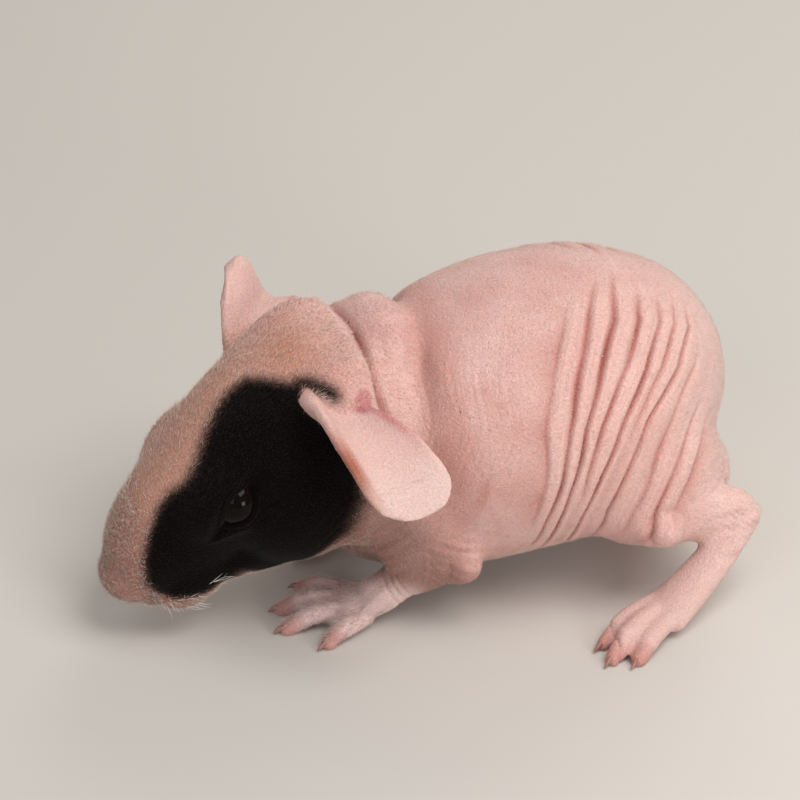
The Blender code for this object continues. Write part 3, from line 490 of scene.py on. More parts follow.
# %% Ear sheets
EAR_CURL = 1.1
EAR_BULGE = 0.15
EAR_CORNER = 0.16
EAR_SUNK = 3.0
EAR_SUNK_ROWS = 3
EAR_AXIS = (-20.0, 0.0, -5.0)
EAR_ROWS = 44
EAR_COLUMNS = 30
EARS = {
    "left": {
        "front": ((34.3, 12.9, 45.5), (25.5, 29.5, 31.6), 4.0),
        "rear": ((23.0, 15.4, 44.0), (11.8, 27.1, 34.8), 3.0),
        "rise": (0.1, 0.62, 0.78),
        "cup": 2.4,
        "crest": (0.9, -0.72, 0.26),
    },
    "right": {
        "front": ((43.4, -8.0, 42.6), (38.0, -22.5, 41.0), 6.4),
        "rear": ((29.6, -11.0, 44.4), (26.5, -25.0, 34.5), 3.6),
        "rise": (-0.1, -0.25, 0.96),
        "cup": 1.6,
        "crest": (5.9, -0.5, 0.4),
    },
}


def ear_grid(spec):
    """Middle surface of an ear, root to far edge by front rim to rear rim."""
    axis = head_to_body(np.array([EAR_AXIS]))[0]
    s = np.linspace(0.0, 1.0, EAR_ROWS - EAR_SUNK_ROWS)[:, None]
    rims = []
    for base, end, arch in (spec["front"], spec["rear"]):
        base = np.array(base)
        end = np.array(end)
        rim = base + s * (end - base) + arch * np.sin(math.pi * s) * unit(spec["rise"])
        depth = EAR_SUNK * np.arange(EAR_SUNK_ROWS, 0, -1)[:, None] / EAR_SUNK_ROWS
        outward_way = unit(unit(end - base + math.pi * arch * unit(spec["rise"])) + unit(base - axis))
        rims.append(np.vstack([base - depth * outward_way, rim]))
    t = np.linspace(-1.0, 1.0, EAR_COLUMNS)[None, :, None]
    s = np.concatenate([np.zeros(EAR_SUNK_ROWS), s[:, 0]])[:, None, None]
    front = rims[0][:, None, :]
    rear = rims[1][:, None, :]
    waist = np.interp(s, (0.0, 0.12, 0.5, 1.0), (0.86, 0.92, 1.05, 1.0))
    waist = waist * (1.0 - EAR_CORNER * np.maximum(4.0 * s - 3.0, 0.0) ** 2.5)
    middle = 0.5 * (front + rear) + 0.5 * t * waist * (rear - front)
    normal = unit(np.cross(rear - front, np.gradient(middle, axis=0)))
    hollow = spec["cup"] * np.interp(s, (0.0, 0.3, 1.0), (1.2, 1.0, 0.3)) * (1.0 - t ** 2)
    high, crest_t, crest_width = spec["crest"]
    crest = high * np.exp(-((t - crest_t) / crest_width) ** 2) * np.sin(math.pi * s) * unit(spec["rise"])
    curl = EAR_CURL * smooth_step(0.7, 1.0, -t) * smooth_step(0.0, 0.3, s)
    facing = np.sign((normal @ unit(spec["rise"])).mean())
    reach = unit(0.5 * (front + rear)[-1:] - 0.5 * (front + rear)[EAR_SUNK_ROWS:EAR_SUNK_ROWS + 1])
    length = np.linalg.norm(np.array(spec["front"][1]) - np.array(spec["front"][0]))
    bulge = EAR_BULGE * length * (1.0 - np.abs(t) ** 2.6) * s ** 3
    return middle + facing * normal * (curl - hollow) + bulge * reach + crest, facing


print("grid of an ear", ear_grid(EARS["left"])[0].shape[:2])

# %% [markdown]
# The grid is the middle of the ear's thickness. Both faces lie half a thickness away from
# it, more at the root and in the rolled front rim, and a band of faces closes the edge.

# %% Ears as closed sheets
EAR_THICK = 1.15
EAR_ROOT_EXTRA = 0.5
EAR_ROLL = 0.35


def ear_shell(spec):
    """The ear as a closed sheet that is thinnest at its rim."""
    middle, _ = ear_grid(spec)
    out = unit(np.cross(np.gradient(middle, axis=1), np.gradient(middle, axis=0)))
    t = np.linspace(-1.0, 1.0, EAR_COLUMNS)[None, :, None]
    s = (np.arange(EAR_ROWS) - EAR_SUNK_ROWS)[:, None, None] / (EAR_ROWS - EAR_SUNK_ROWS - 1.0)
    half = 0.5 * EAR_THICK * (1.0 - 0.12 * np.abs(t) ** 4) + EAR_ROOT_EXTRA * smooth_step(0.34, 0.0, s)
    roll = EAR_ROLL * np.exp(-((t + 0.84) / 0.16) ** 2) * smooth_step(0.0, 0.3, s) * smooth_step(1.0, 0.9, s)
    half = half + roll
    points = np.concatenate([(middle + out * half).reshape(-1, 3), (middle - out * half).reshape(-1, 3)])
    count = EAR_ROWS * EAR_COLUMNS
    faces = []
    for r in range(EAR_ROWS - 1):
        for c in range(EAR_COLUMNS - 1):
            a = r * EAR_COLUMNS + c
            b = a + 1
            d = a + EAR_COLUMNS
            e = d + 1
            faces += [(a, b, e, d), (count + a, count + d, count + e, count + b)]
    rim = list(range(EAR_COLUMNS))
    rim += [r * EAR_COLUMNS + EAR_COLUMNS - 1 for r in range(1, EAR_ROWS)]
    rim += [(EAR_ROWS - 1) * EAR_COLUMNS + c for c in range(EAR_COLUMNS - 2, -1, -1)]
    rim += [r * EAR_COLUMNS for r in range(EAR_ROWS - 2, 0, -1)]
    for k, a in enumerate(rim):
        b = rim[(k + 1) % len(rim)]
        faces.append((b, a, count + a, count + b))
    return points, faces


EAR_SHELLS = [ear_shell(spec) for spec in EARS.values()]
print("ear faces", [len(faces) for _, faces in EAR_SHELLS])

# %% [markdown]
# ## Fusing the masses
#
# A voxel remesh welds the overlapping shells into one closed skin, the way clay is pressed
# together. Its cells are under half a millimetre, fine enough for a toe.

# %% Fusing
VOXEL = 0.45


def new_mesh_object(name, points, faces):
    """An object in the scene from points in millimetres and faces."""
    mesh = bpy.data.meshes.new(name)
    mesh.from_pydata([tuple(p) for p in np.asarray(points) * MM], [], faces)
    mesh.update()
    thing = bpy.data.objects.new(name, mesh)
    bpy.context.scene.collection.objects.link(thing)
    return thing


def apply_modifiers(thing):
    """Turns the result of the modifiers into the mesh itself."""
    graph = bpy.context.evaluated_depsgraph_get()
    made = bpy.data.meshes.new_from_object(thing.evaluated_get(graph))
    thing.modifiers.clear()
    thing.data = made
    return thing


def fuse(name, shells):
    """Welds overlapping shells into one closed skin."""
    points = []
    faces = []
    for shell, corners in shells:
        start = sum(len(p) for p in points)
        points.append(shell)
        faces += [tuple(start + c for c in face) for face in corners]
    thing = new_mesh_object(name, np.vstack(points), faces)
    modifier = thing.modifiers.new("fuse", "REMESH")
    modifier.mode = "VOXEL"
    modifier.voxel_size = VOXEL * MM
    return apply_modifiers(thing)


skin = fuse("skin", BODY_SHELLS + EAR_SHELLS)
print("fused skin", len(skin.data.vertices), "vertices")

# %% [markdown]
# Everything after this moves points, so they are read out as one table of numbers, worked
# on and written back.

# %% Points in and out
def read_points(thing):
    """Vertex places in millimetres."""
    flat = np.empty(len(thing.data.vertices) * 3)
    thing.data.vertices.foreach_get("co", flat)
    return flat.reshape(-1, 3) / MM


def read_normals(thing):
    """Outward directions at the vertices."""
    flat = np.empty(len(thing.data.vertices) * 3)
    thing.data.vertex_normals.foreach_get("vector", flat)
    return flat.reshape(-1, 3)


def write_points(thing, points):
    """Moves the vertices to new places in millimetres."""
    thing.data.vertices.foreach_set("co", (points * MM).ravel())
    thing.data.update()


points = read_points(skin)
print("skin spans", (points.max(axis=0) - points.min(axis=0)).round(1), "mm")

# %% [markdown]
# Softening, folds, colour and fuzz all treat the ears in their own way. So for each point
# near an ear, the nearest point of the ear's grid tells how far along and across it lies.

# %% Where the ears are
class EarField:
    """Where a point of the skin lies on an ear: distance, place along it and across it."""

    def __init__(self, spec):
        grid, facing = ear_grid(spec)
        self.normal = facing * unit(np.cross(spec_span(spec), np.gradient(grid, axis=0))).reshape(-1, 3)
        self.grid = grid.reshape(-1, 3)
        self.tree = kdtree.KDTree(len(self.grid))
        for i, p in enumerate(self.grid):
            self.tree.insert(p, i)
        self.tree.balance()

    def look(self, points):
        near = np.full(len(points), 99.0)
        along = np.zeros(len(points))
        across = np.zeros(len(points))
        inner = np.zeros(len(points))
        low = self.grid.min(axis=0) - 3.0
        high = self.grid.max(axis=0) + 3.0
        for i in np.nonzero(((points > low) & (points < high)).all(axis=1))[0]:
            _, k, distance = self.tree.find(points[i])
            near[i] = distance
            along[i] = (k // EAR_COLUMNS - EAR_SUNK_ROWS) / (EAR_ROWS - EAR_SUNK_ROWS - 1.0)
            across[i] = 2.0 * (k % EAR_COLUMNS) / (EAR_COLUMNS - 1.0) - 1.0
            inner[i] = (points[i] - self.grid[k]) @ self.normal[k]
        return near, along, across, inner


def spec_span(spec):
    """From the front rim to the rear rim, at the middle of the ear."""
    front = np.array(spec["front"][0]) + np.array(spec["front"][1])
    rear = np.array(spec["rear"][0]) + np.array(spec["rear"][1])
    return 0.5 * (rear - front)


ear_fields = {side: EarField(spec) for side, spec in EARS.items()}
on_ear = np.zeros(len(points))
for field in ear_fields.values():
    near, along, across, inner = field.look(points)
    on_ear = np.maximum(on_ear, smooth_step(1.9, 1.2, near) * smooth_step(0.0, 0.26, along))
print("points on the ears", int((on_ear > 0.5).sum()))

# %% [markdown]
# The remesh leaves small steps and hard joins, so the surface is softened: much on the
# trunk and skull, little on the muzzle and none on the toes and ears, which would melt.
# One subdivision then gives faces of about a fifth of a millimetre for the creases.

# %% Softening
SOFT_TURNS = 150
LAST_TURNS = 4


def soften(thing, weight, turns):
    """Smooths the surface, each vertex by its own weight."""
    group = thing.vertex_groups.new(name="soft")
    for level in range(1, 11):
        chosen = np.nonzero(np.round(weight * 10).astype(int) == level)[0]
        if len(chosen):
            group.add([int(i) for i in chosen], level / 10.0, "REPLACE")
    modifier = thing.modifiers.new("soft", "SMOOTH")
    modifier.factor = 0.5
    modifier.iterations = turns
    modifier.vertex_group = "soft"
    apply_modifiers(thing)
    thing.vertex_groups.clear()


local = body_to_head(points)
limbs = smooth_step(13.0, 9.0, points[:, 2]) * smooth_step(10.0, 13.0, np.abs(points[:, 1]))
paws = smooth_step(20.0, 22.5, points[:, 0]) * smooth_step(8.6, 7.4, points[:, 2])
limbs = np.maximum(limbs, paws * (points[:, 0] < 46.0))
hock = smooth_step(-33.0, -36.0, points[:, 0]) * smooth_step(14.0, 17.0, np.abs(points[:, 1]))
face = smooth_step(8.0, 18.0, local[:, 0]) * (points[:, 2] > 5)
weight = np.clip(1.0 - np.maximum(limbs, hock) - 0.8 * face, 0.0, 1.0)
soften(skin, weight * (1.0 - on_ear), SOFT_TURNS)
soften(skin, 1.0 - 0.6 * on_ear, LAST_TURNS)
skin.modifiers.new("fine", "SUBSURF").levels = 1
skin.modifiers["fine"].render_levels = 1
apply_modifiers(skin)
print("skin vertices", len(skin.data.vertices))

# %% [markdown]
# ## Eyelids
#
# A lid is skin stretched over the eyeball and slit open in an almond. So near each eye the
# skin is pushed out to clear the ball, then drawn to set distances from its middle: inside
# the ball within the opening, proud of it on the rim, and sunk again in the fold beyond.

# %% Eyelids
EYE_RADIUS = 4.2
EYE_DEPTH_Y = 8.7
EYE_LOW = 1.2
EYE_LIFT = 16.0
EYE_HALF_LENGTH = 64.0
EYE_HALF_HEIGHT = 31.0
EYE_TILT = 0.30
LID_SOFT = 1.2
LID_THICK = 0.85
GAP = 0.3
LID_RATIOS = (0.0, 0.86, 0.95, 1.02, 1.12, 1.24, 1.34, 1.46, 1.8)
LID_LEVELS = (-0.6, -0.5, 0.02, GAP + 0.12, 0.62, 0.78, 0.52, 0.95, LID_THICK)


def eye_ratio(away, out, rise):
    """Below one inside the opening between the lids, above one on the lids."""
    along = np.degrees(np.arctan2(away[:, 0], np.maximum(out, 1e-6)))
    high = np.degrees(np.arctan2(rise + EYE_TILT * away[:, 0], np.maximum(out, 1e-6)))
    return (np.abs(along / EYE_HALF_LENGTH) ** 1.7 + np.abs(high / EYE_HALF_HEIGHT) ** 1.7) ** (1 / 1.7)


def sculpt_eyes(points):
    """Opens the lids over each eyeball and raises their rims."""
    local = body_to_head(points)
    rim = np.full(len(points), 9.0)
    lift = math.radians(EYE_LIFT)
    for sign in (1.0, -1.0):
        away = local - np.array([0.0, sign * EYE_DEPTH_Y, -EYE_LOW])
        distance = np.linalg.norm(away, axis=1)
        out = away[:, 1] * sign * math.cos(lift) + away[:, 2] * math.sin(lift)
        rise = away[:, 2] * math.cos(lift) - away[:, 1] * sign * math.sin(lift)
        near = distance < 3.0 * EYE_RADIUS
        ratio = eye_ratio(away, out, rise)
        beyond = distance - EYE_RADIUS - LID_THICK
        covered = EYE_RADIUS + LID_THICK + 0.5 * (beyond + np.sqrt(beyond ** 2 + LID_SOFT))
        reach = 1.0 - smooth_step(EYE_RADIUS + 2.0, EYE_RADIUS + 4.0, distance)
        target = np.interp(ratio, LID_RATIOS, [EYE_RADIUS + level for level in LID_LEVELS])
        pull = (1.0 - smooth_step(1.3, 1.7, ratio)) * reach * smooth_step(0.0, 1.4, out)
        placed = covered * (1.0 - pull) + target * pull
        scale = placed / np.maximum(distance, 1e-6)
        local = np.where(near[:, None], local - away + away * scale[:, None], local)
        rim = np.where(near & (out > 0.5) & (distance < 8.5), np.minimum(rim, ratio), rim)
    return head_to_body(local), rim


points, lid_ratio = sculpt_eyes(read_points(skin))
write_points(skin, points)
print("points within the lids' rims", int((lid_ratio < 1.0).sum()))

# %% [markdown]
# ## Pleats of the flank
#
# Loose skin gathers where the body bends. Behind the ribs it lies in pleats: broad soft
# ridges with narrow, deep grooves between them, all leaning toward the knee. Each row
# gives where one groove lies at seven angles round the body, its depth, and the angles
# at which it starts and ends. The height of the skin is worked out from where a point
# lies between two grooves. It is pushed along the normal later, with all other folds.

# %% Pleats of the flank
FOLD_AXIS_Z = 30.0
FOLD_ANGLES = (10.0, 30.0, 50.0, 70.0, 90.0, 110.0, 130.0)
FOLD_SINK = 0.74
FLANK_FOLDS = (
    (-11.3, -8.7, -5.3, -3.4, -3.1, -1.5, -0.5, 0.50, 26.0, 112.0),
    (-15.7, -12.8, -9.8, -7.2, -5.9, -4.0, -2.3, 1.00, 20.0, 128.0),
    (-18.9, -17.2, -13.2, -10.0, -8.1, -5.9, -4.9, 1.20, 16.0, 138.0),
    (-23.0, -21.6, -17.4, -12.7, -9.9, -8.0, -6.9, 0.95, 20.0, 98.0),
    (-26.2, -25.0, -21.4, -16.6, -12.4, -9.8, -9.0, 1.15, 26.0, 138.0),
    (-28.6, -28.0, -24.1, -18.6, -14.8, -11.8, -11.0, 0.70, 18.0, 74.0),
    (-30.8, -30.6, -27.2, -20.9, -17.2, -13.9, -13.4, 0.95, 26.0, 132.0),
    (-33.4, -32.6, -30.2, -26.0, -22.0, -18.6, -16.0, 0.55, 46.0, 122.0),
    (-36.0, -35.2, -34.0, -31.0, -26.6, -22.2, -18.8, 0.80, 78.0, 124.0),
    (-38.5, -37.8, -36.8, -35.0, -31.0, -25.6, -22.0, 0.60, 84.0, 118.0),
)
FINE_PLEAT = 0.07


def waver(*terms):
    """Smooth pseudo-random wave between -1 and 1 from pairs of phase and offset."""
    return sum(np.sin(phase + offset) for phase, offset in terms) / len(terms)


def flank_folds(points):
    """Height of the pleats that run from the rump down and forward to the belly."""
    folds = np.array(FLANK_FOLDS)
    around = np.degrees(np.arctan2(np.abs(points[:, 1]), points[:, 2] - FOLD_AXIS_Z))
    side = np.sign(points[:, 1])
    x = points[:, 0]
    lines = []
    depth = []
    for k, row in enumerate(folds):
        sway = 0.22 * waver((around * 0.11, 1.7 * k + side), (around * 0.23, 2.9 * k - side))
        lines.append(np.interp(around, FOLD_ANGLES, row[:-3]) + sway)
        fade = smooth_step(row[-2] - 14.0, row[-2] + 16.0, around)
        fade = fade * smooth_step(row[-1] + 8.0, row[-1] - 16.0, around)
        depth.append(row[-3] * fade * (1.1 + 0.22 * waver((around * 0.17, 2.3 * k + 2 * side))))
    height = np.zeros(len(points))
    for k in range(len(folds) - 1):
        front = lines[k]
        back = lines[k + 1]
        phase = (front - x) / np.maximum(front - back, 0.5)
        inside = (phase >= 0.0) & (phase < 1.0)
        deep = depth[k] * (1.0 - phase) + depth[k + 1] * phase
        across = np.abs(2.0 * np.clip(phase, 0.0, 1.0) ** 0.86 - 1.0)
        ridge = 1.0 - across ** 3.0
        split = waver((around * 0.05, 4.1 * k))
        minor = 0.16 * np.exp(-((phase - 0.52 - 0.1 * split) / 0.1) ** 2) * smooth_step(0.1, 0.7, split)
        fine = waver((phase * 18.0 + 0.04 * around, 1.3 * k), (phase * 27.0 - 0.05 * around, 2.1 * k))
        height = np.where(inside, deep * (ridge - FOLD_SINK - minor + FINE_PLEAT * ridge * fine), height)
    for k, sign in ((0, 1.0), (len(folds) - 1, -1.0)):
        away = (x - lines[k]) * sign
        fade = np.exp(-np.maximum(away, 0.0) / 1.6)
        height = np.where(away >= 0.0, -depth[k] * FOLD_SINK * fade, height)
    return height


folds = flank_folds(points)
print("pleats from", round(float(folds.min()), 2), "to", round(float(folds.max()), 2), "mm")

# %% [markdown]
# ## Nape
#
# A sharp crease crosses the nape behind the skull. Behind it the loose skin stands up in a
# roll, and a shallow valley parts the roll from the back.

# %% Nape
NECK_AXIS_Y = 1.8
NAPE_CREASE_X = 23.3
NAPE_CREASE_SLANT = 0.17
NAPE_CREASE_DEPTH = 1.7
NECK_VALLEY_X = 13.2
NECK_VALLEY_SPREAD = 0.15


def neck_folds(points):
    """Depth of the crease behind the skull and height of the roll of skin behind it."""
    y = points[:, 1] - NECK_AXIS_Y
    around = np.degrees(np.arctan2(y, points[:, 2] - FOLD_AXIS_Z))
    crease_x = NAPE_CREASE_X - NAPE_CREASE_SLANT * points[:, 1]
    valley_x = NECK_VALLEY_X + NECK_VALLEY_SPREAD * np.abs(y)
    above = smooth_step(68.0, 44.0, np.abs(around))
    side = np.where(y > 0, 1.0, 0.75)
    from_crease = points[:, 0] - crease_x
    from_valley = points[:, 0] - valley_x
    height = -NAPE_CREASE_DEPTH * np.exp(-np.abs(from_crease / 0.62) ** 1.6)
    height += 0.3 * np.exp(-((from_crease - 2.0) / 1.8) ** 2)
    height += 0.2 * np.exp(-((points[:, 0] - 0.5 * (crease_x + valley_x)) / 3.6) ** 2)
    height += -0.5 * np.exp(-(from_valley / 2.0) ** 2)
    return height * above * side


nape = neck_folds(points)
print("nape crease", round(float(-nape.min()), 2), "mm deep")

# %% [markdown]
# ## Mouth and nostrils
#
# The mouth is a thin line from the corner to the front, with a lip that swells above it.
# The lip is cleft in the middle, as a rodent's is. The nostrils are slanting slits.

# %% Mouth and nostrils
MOUTH_CORNER = (7.6, -17.0)
MOUTH_MIDDLE = (15.0, -15.9)
MOUTH_FRONT = (22.0, -13.2)
MOUTH_DEPTH = 0.9
NOSTRIL = (22.6, 4.6, -8.0)
NOSTRIL_DEPTH = 1.6


def muzzle_marks(points):
    """Mouth line, cleft of the lip and nostrils, as depths in the head's own frame."""
    local = body_to_head(points)
    x = local[:, 0]
    y = np.abs(local[:, 1])
    z = local[:, 2]
    mouth_z = np.interp(x, *zip(MOUTH_CORNER, MOUTH_MIDDLE, MOUTH_FRONT))
    on_mouth = smooth_step(MOUTH_CORNER[0] - 1.0, MOUTH_CORNER[0] + 0.8, x)
    height = -MOUTH_DEPTH * np.exp(-((z - mouth_z) / 0.45) ** 2) * on_mouth
    height += 0.32 * np.exp(-((z - mouth_z - 1.3) / 0.8) ** 2) * on_mouth
    cleft = np.exp(-(y / 0.5) ** 2) * smooth_step(20.0, 21.5, x) * smooth_step(-7.2, -8.6, z)
    height += -0.6 * cleft * smooth_step(-14.5, -13.0, z)
    slot = ((z - NOSTRIL[2]) + 0.5 * (y - NOSTRIL[1])) / 0.6
    across = ((y - NOSTRIL[1]) - 0.5 * (z - NOSTRIL[2])) / 1.2
    height += -NOSTRIL_DEPTH * np.exp(-slot ** 2 - across ** 2) * smooth_step(19.0, 21.0, x)
    return height


muzzle = muzzle_marks(points)
print("deepest mark of the muzzle", round(float(-muzzle.min()), 2), "mm")

# %% [markdown]
# ## Limbs
#
# Small lobes of loose skin hang at elbow and knee. Wrists, ankles and toe joints carry
# rings of fine creases, like the ones on a bent finger.

# %% Lobes and creases of the limbs
NUBS = (((8.3, 21.6, 13.3), 1.0), ((-24.0, 24.9, 17.6), 1.4))
NUB_SPREAD = 2.1
WRIST_RINGS = ((18.8, 14.7, 7.6), (0.80, -0.25, -0.55), (-1.9, -0.7, 0.5))
ANKLE_RINGS = ((-36.5, 20.4, 14.2), (0.55, 0.45, -0.70), (-1.6, -0.6, 0.4, 1.4))


def joint_nubs(points):
    """Small lobes of loose skin that stick out at the elbow and the knee."""
    height = np.zeros(len(points))
    for centre, size in NUBS:
        for flip in ((1.0, 1.0, 1.0), (1.0, -1.0, 1.0)):
            away = np.linalg.norm(points * np.array(flip) - np.array(centre), axis=1)
            height += (size * np.exp(-(away / NUB_SPREAD) ** 2)
                       - 0.35 * size * np.exp(-((away - 3.4) / 0.9) ** 2))
    return height


def rings_round(points, centre, along, offsets, deep, wide, radius):
    """Fine creases that run round a wrist or toe at given distances along it."""
    away = points - np.array(centre)
    along = unit(along)
    a = away @ along
    off = np.linalg.norm(away - a[:, None] * along, axis=1)
    height = np.zeros(len(points))
    for offset in offsets:
        height += -deep * np.exp(-((a - offset) / wide) ** 2)
    return height * smooth_step(radius, 0.8 * radius, off)


def limb_creases(points):
    """Wrinkles over the wrists, ankles and toe joints of all four feet."""
    height = np.zeros(len(points))
    for mirror, fore_shift, hind_shift in ((1.0, 0.0, 0.0), (-1.0, RIGHT_FORE_SHIFT, RIGHT_HIND_SHIFT)):
        flip = np.array([1.0, mirror, 1.0])
        fore = (points - fore_shift) * flip
        hind = (points - hind_shift) * flip
        for p, rows in ((fore, FORE_TOES), (hind, HIND_TOES)):
            for root, knuckle, tip, radius in rows:
                way = np.array(tip) - np.array(knuckle)
                height += rings_round(p, knuckle, way, (-0.5, 0.1, 0.7, 2.6), 0.11, 0.16, radius * 1.45)
        height += rings_round(fore, *WRIST_RINGS, 0.24, 0.3, 5.0)
        height += rings_round(hind, *ANKLE_RINGS, 0.14, 0.25, 5.5)
    return height


limb_rings = limb_creases(points)
lobes = joint_nubs(points)
print("highest lobe", round(float(lobes.max()), 2), "mm")

# %% [markdown]
# ## Slack lines
#
# Between the deep folds the skin still isn't smooth. Fine slack lines run up the flank and
# round the throat, and the chest is bunched where the foreleg leaves it.

# %% Slack lines
def slack_lines(points):
    """Faint wrinkles over the shoulder, flank, throat and rump."""
    x = points[:, 0]
    y = points[:, 1]
    z = points[:, 2]
    side = smooth_step(6.0, 15.0, np.abs(y))
    lean = x + 0.24 * z + 1.1 * waver((z * 0.21, 0.4), (z * 0.47, 2.0)) * side
    fine = waver((lean * 3.1, 0.0), (lean * 4.7 + z * 0.10, 1.3), (lean * 6.3 - z * 0.2, 0.7))
    shoulder = smooth_step(21.0, 15.0, x) * smooth_step(-6.0, 4.0, x) * side
    height = 0.075 * fine * shoulder * (0.6 + 0.4 * waver((x * 0.9, 1.0), (z * 0.6, 0.0)))
    throat = smooth_step(16.0, 19.0, x) * smooth_step(36.0, 28.0, x) * smooth_step(30.0, 22.0, z)
    bunch = x * 0.75 + z * 0.75
    height += 0.16 * waver((bunch * 2.1, 0.5), (bunch * 3.4, 1.9)) * throat * side
    chest = np.exp(-((x - 10.0) / 5.0) ** 2 - ((z - 15.5) / 4.0) ** 2) * side
    height += 0.18 * waver(((x * 0.6 - z) * 2.0, 0.3), ((x * 0.3 - z) * 3.3, 1.0)) * chest
    rump = smooth_step(-30.0, -35.0, x) * smooth_step(36.0, 26.0, z)
    height += 0.12 * waver((z * 2.0 + 0.3 * np.abs(y), 0.0), (z * 3.1, 1.2)) * rump
    return height


slack = slack_lines(points)
print("slack lines up to", round(float(slack.max()), 2), "mm")

# %% [markdown]
# ## Folds of the ears
#
# The ears have their own small relief: a wavy far edge, a tuck across the left one, a
# dimple where it folds at its root, and a crease down the right one.

# %% Folds of the ears
near_ear = np.zeros(len(points))
ear_map = {}
for side, field in ear_fields.items():
    near, along, across, inner = ear_map[side] = field.look(points)
    near_ear = np.maximum(near_ear, smooth_step(1.6, 0.9, near) * smooth_step(-0.02, 0.1, along))
ear_dimple = np.zeros(len(points))
ear_lines = np.zeros(len(points))
for side, (near, along, across, inner) in ear_map.items():
    shell = smooth_step(1.8, 1.0, near) * (inner > 0)
    wave = waver((along * 17.0 + across * 3.0, 0.3), (along * 29.0 - across * 5.0, 1.4))
    ear_lines += shell * 0.09 * wave * smooth_step(0.55, 0.8, along) * smooth_step(1.0, 0.8, np.abs(across))
    if side == "left":
        ear_dimple += shell * np.exp(-((along - 0.06) / 0.07) ** 2 - ((across - 0.72) / 0.24) ** 2)
        tuck = np.exp(-((along - 0.85 + 0.03 * np.cos(3.0 * across)) / 0.02) ** 2)
        ear_lines -= 0.32 * shell * tuck * smooth_step(-0.9, -0.7, across) * smooth_step(0.5, 0.2, across)
    else:
        crease = np.exp(-((across - 0.15 - 0.5 * along) / 0.09) ** 2) * smooth_step(0.8, 0.4, along)
        ear_lines -= 0.35 * shell * crease
print("ear folds to", round(float(-ear_lines.min()), 2), "mm")

# %% [markdown]
# ## The finished relief
#
# All heights are added and the skin is pushed along its normals. One light softening rounds
# the sharp bottoms of the folds, and the soles are cut flat where they meet the floor.

# %% The finished relief
DIMPLE_DEPTH = 0.8
relief = (folds + nape + (slack + limb_rings + lobes)) * (1.0 - near_ear) + muzzle
relief += ear_lines - DIMPLE_DEPTH * ear_dimple
write_points(skin, points + read_normals(skin) * relief[:, None])
off_muzzle = smooth_step(24.0, 12.0, body_to_head(points)[:, 0])
soften(skin, (1.0 - 0.7 * near_ear) * smooth_step(1.5, 3.0, points[:, 2]) * off_muzzle, 1)
points = read_points(skin)
points[:, 2] = np.maximum(points[:, 2], SOLE_Z)
write_points(skin, points)
print("relief from", round(float(relief.min()), 2), "to", round(float(relief.max()), 2), "mm")

# %% [markdown]
# ## What each patch of skin is
#
# The colours follow the anatomy, so each point of the skin is told what it is: how far it
# lies inside the dark mask, how deep in a groove, whether on a foot, toe tip, ear or nose.
# These are stored on the mesh as plain numbers that skin and hair both read. The mask is
# drawn as an outline on the unrolled head: distance along it, and angle from its crown.
# A thin dark line goes on from it round the root of the ear.

# %% The dark mask
MASK_OUTLINE = (
    (-19.6, 36), (-19.6, 30), (-18.2, 25), (-16.0, 15), (-13.6, 6), (-10.3, 6), (-6.7, 10), (-3.2, 16),
    (0.3, 24), (4.1, 29), (7.0, 26), (10.0, 27), (14.0, 37), (17.2, 51), (19.4, 75), (19.7, 100),
    (18.4, 112), (16.5, 117), (14.5, 125), (11.6, 137), (9.4, 139), (7.3, 134), (5.0, 142), (2.6, 145),
    (-0.3, 134), (-3.5, 125), (-6.6, 121), (-9.4, 118), (-12.3, 110), (-14.8, 105), (-17.5, 92), (-20.0, 70),
    (-19.3, 50),
)
EAR_LINE = ((-19.6, 29), (-21.0, 34), (-22.0, 40), (-22.8, 46))
RIGHT_PATCH = (
    (-14.0, 76), (-12.0, 64), (-6.0, 59), (0.0, 61), (6.0, 66), (11.0, 74), (14.0, 86), (14.5, 98),
    (12.0, 108), (6.0, 115), (0.0, 118), (-6.0, 116), (-11.0, 108), (-14.5, 93),
)
MM_PER_DEGREE = 0.21
EAR_LINE_WIDTH = 0.45
THROAT_Z = -21.0
OUTSIDE = -9.0
NO_MASK_ON_EARS = 12.0


def outline_distance(u, v, outline, closed=True):
    """Signed distance to an outline on the unrolled head, positive inside it."""
    best = np.full(len(u), 1e9)
    inside = np.zeros(len(u), bool)
    corners = np.array(outline, float) * np.array([1.0, MM_PER_DEGREE])
    ends = np.roll(corners, -1, axis=0)
    for (ax, ay), (bx, by) in zip(corners if closed else corners[:-1], ends):
        px = u - ax
        py = v - ay
        dx = bx - ax
        dy = by - ay
        h = np.clip((px * dx + py * dy) / (dx * dx + dy * dy), 0.0, 1.0)
        best = np.minimum(best, np.hypot(px - h * dx, py - h * dy))
        crosses = (ay > v) != (by > v)
        where = ax + (v - ay) * dx / (dy if abs(dy) > 1e-9 else 1e-9)
        inside ^= crosses & (u < where) & closed
    return np.where(inside, best, -best)


def mask_depth(local):
    """Millimetres inside the dark mask on the left, or inside the eye patch on the right."""
    angle = np.degrees(np.arctan2(np.abs(local[:, 1]), local[:, 2] + 6.0))
    across = angle * MM_PER_DEGREE
    left = outline_distance(local[:, 0], across, MASK_OUTLINE)
    left = np.maximum(left, EAR_LINE_WIDTH + outline_distance(local[:, 0], across, EAR_LINE, closed=False))
    right = outline_distance(local[:, 0], across, RIGHT_PATCH)
    depth = np.where(local[:, 1] > 0, left, right)
    return np.where((local[:, 0] > -26.0) & (local[:, 2] > THROAT_Z), depth, OUTSIDE)


local = body_to_head(points)
shares = {"mask": mask_depth(local) - NO_MASK_ON_EARS * near_ear}
print("points inside the mask", int((shares["mask"] > 0).sum()), "of", len(points))

# %% [markdown]
# Feet, toe tips, nose, lips and ears are simple fades in the body's or the head's frame.
# A share is one where the marking is full and zero where there is none of it.

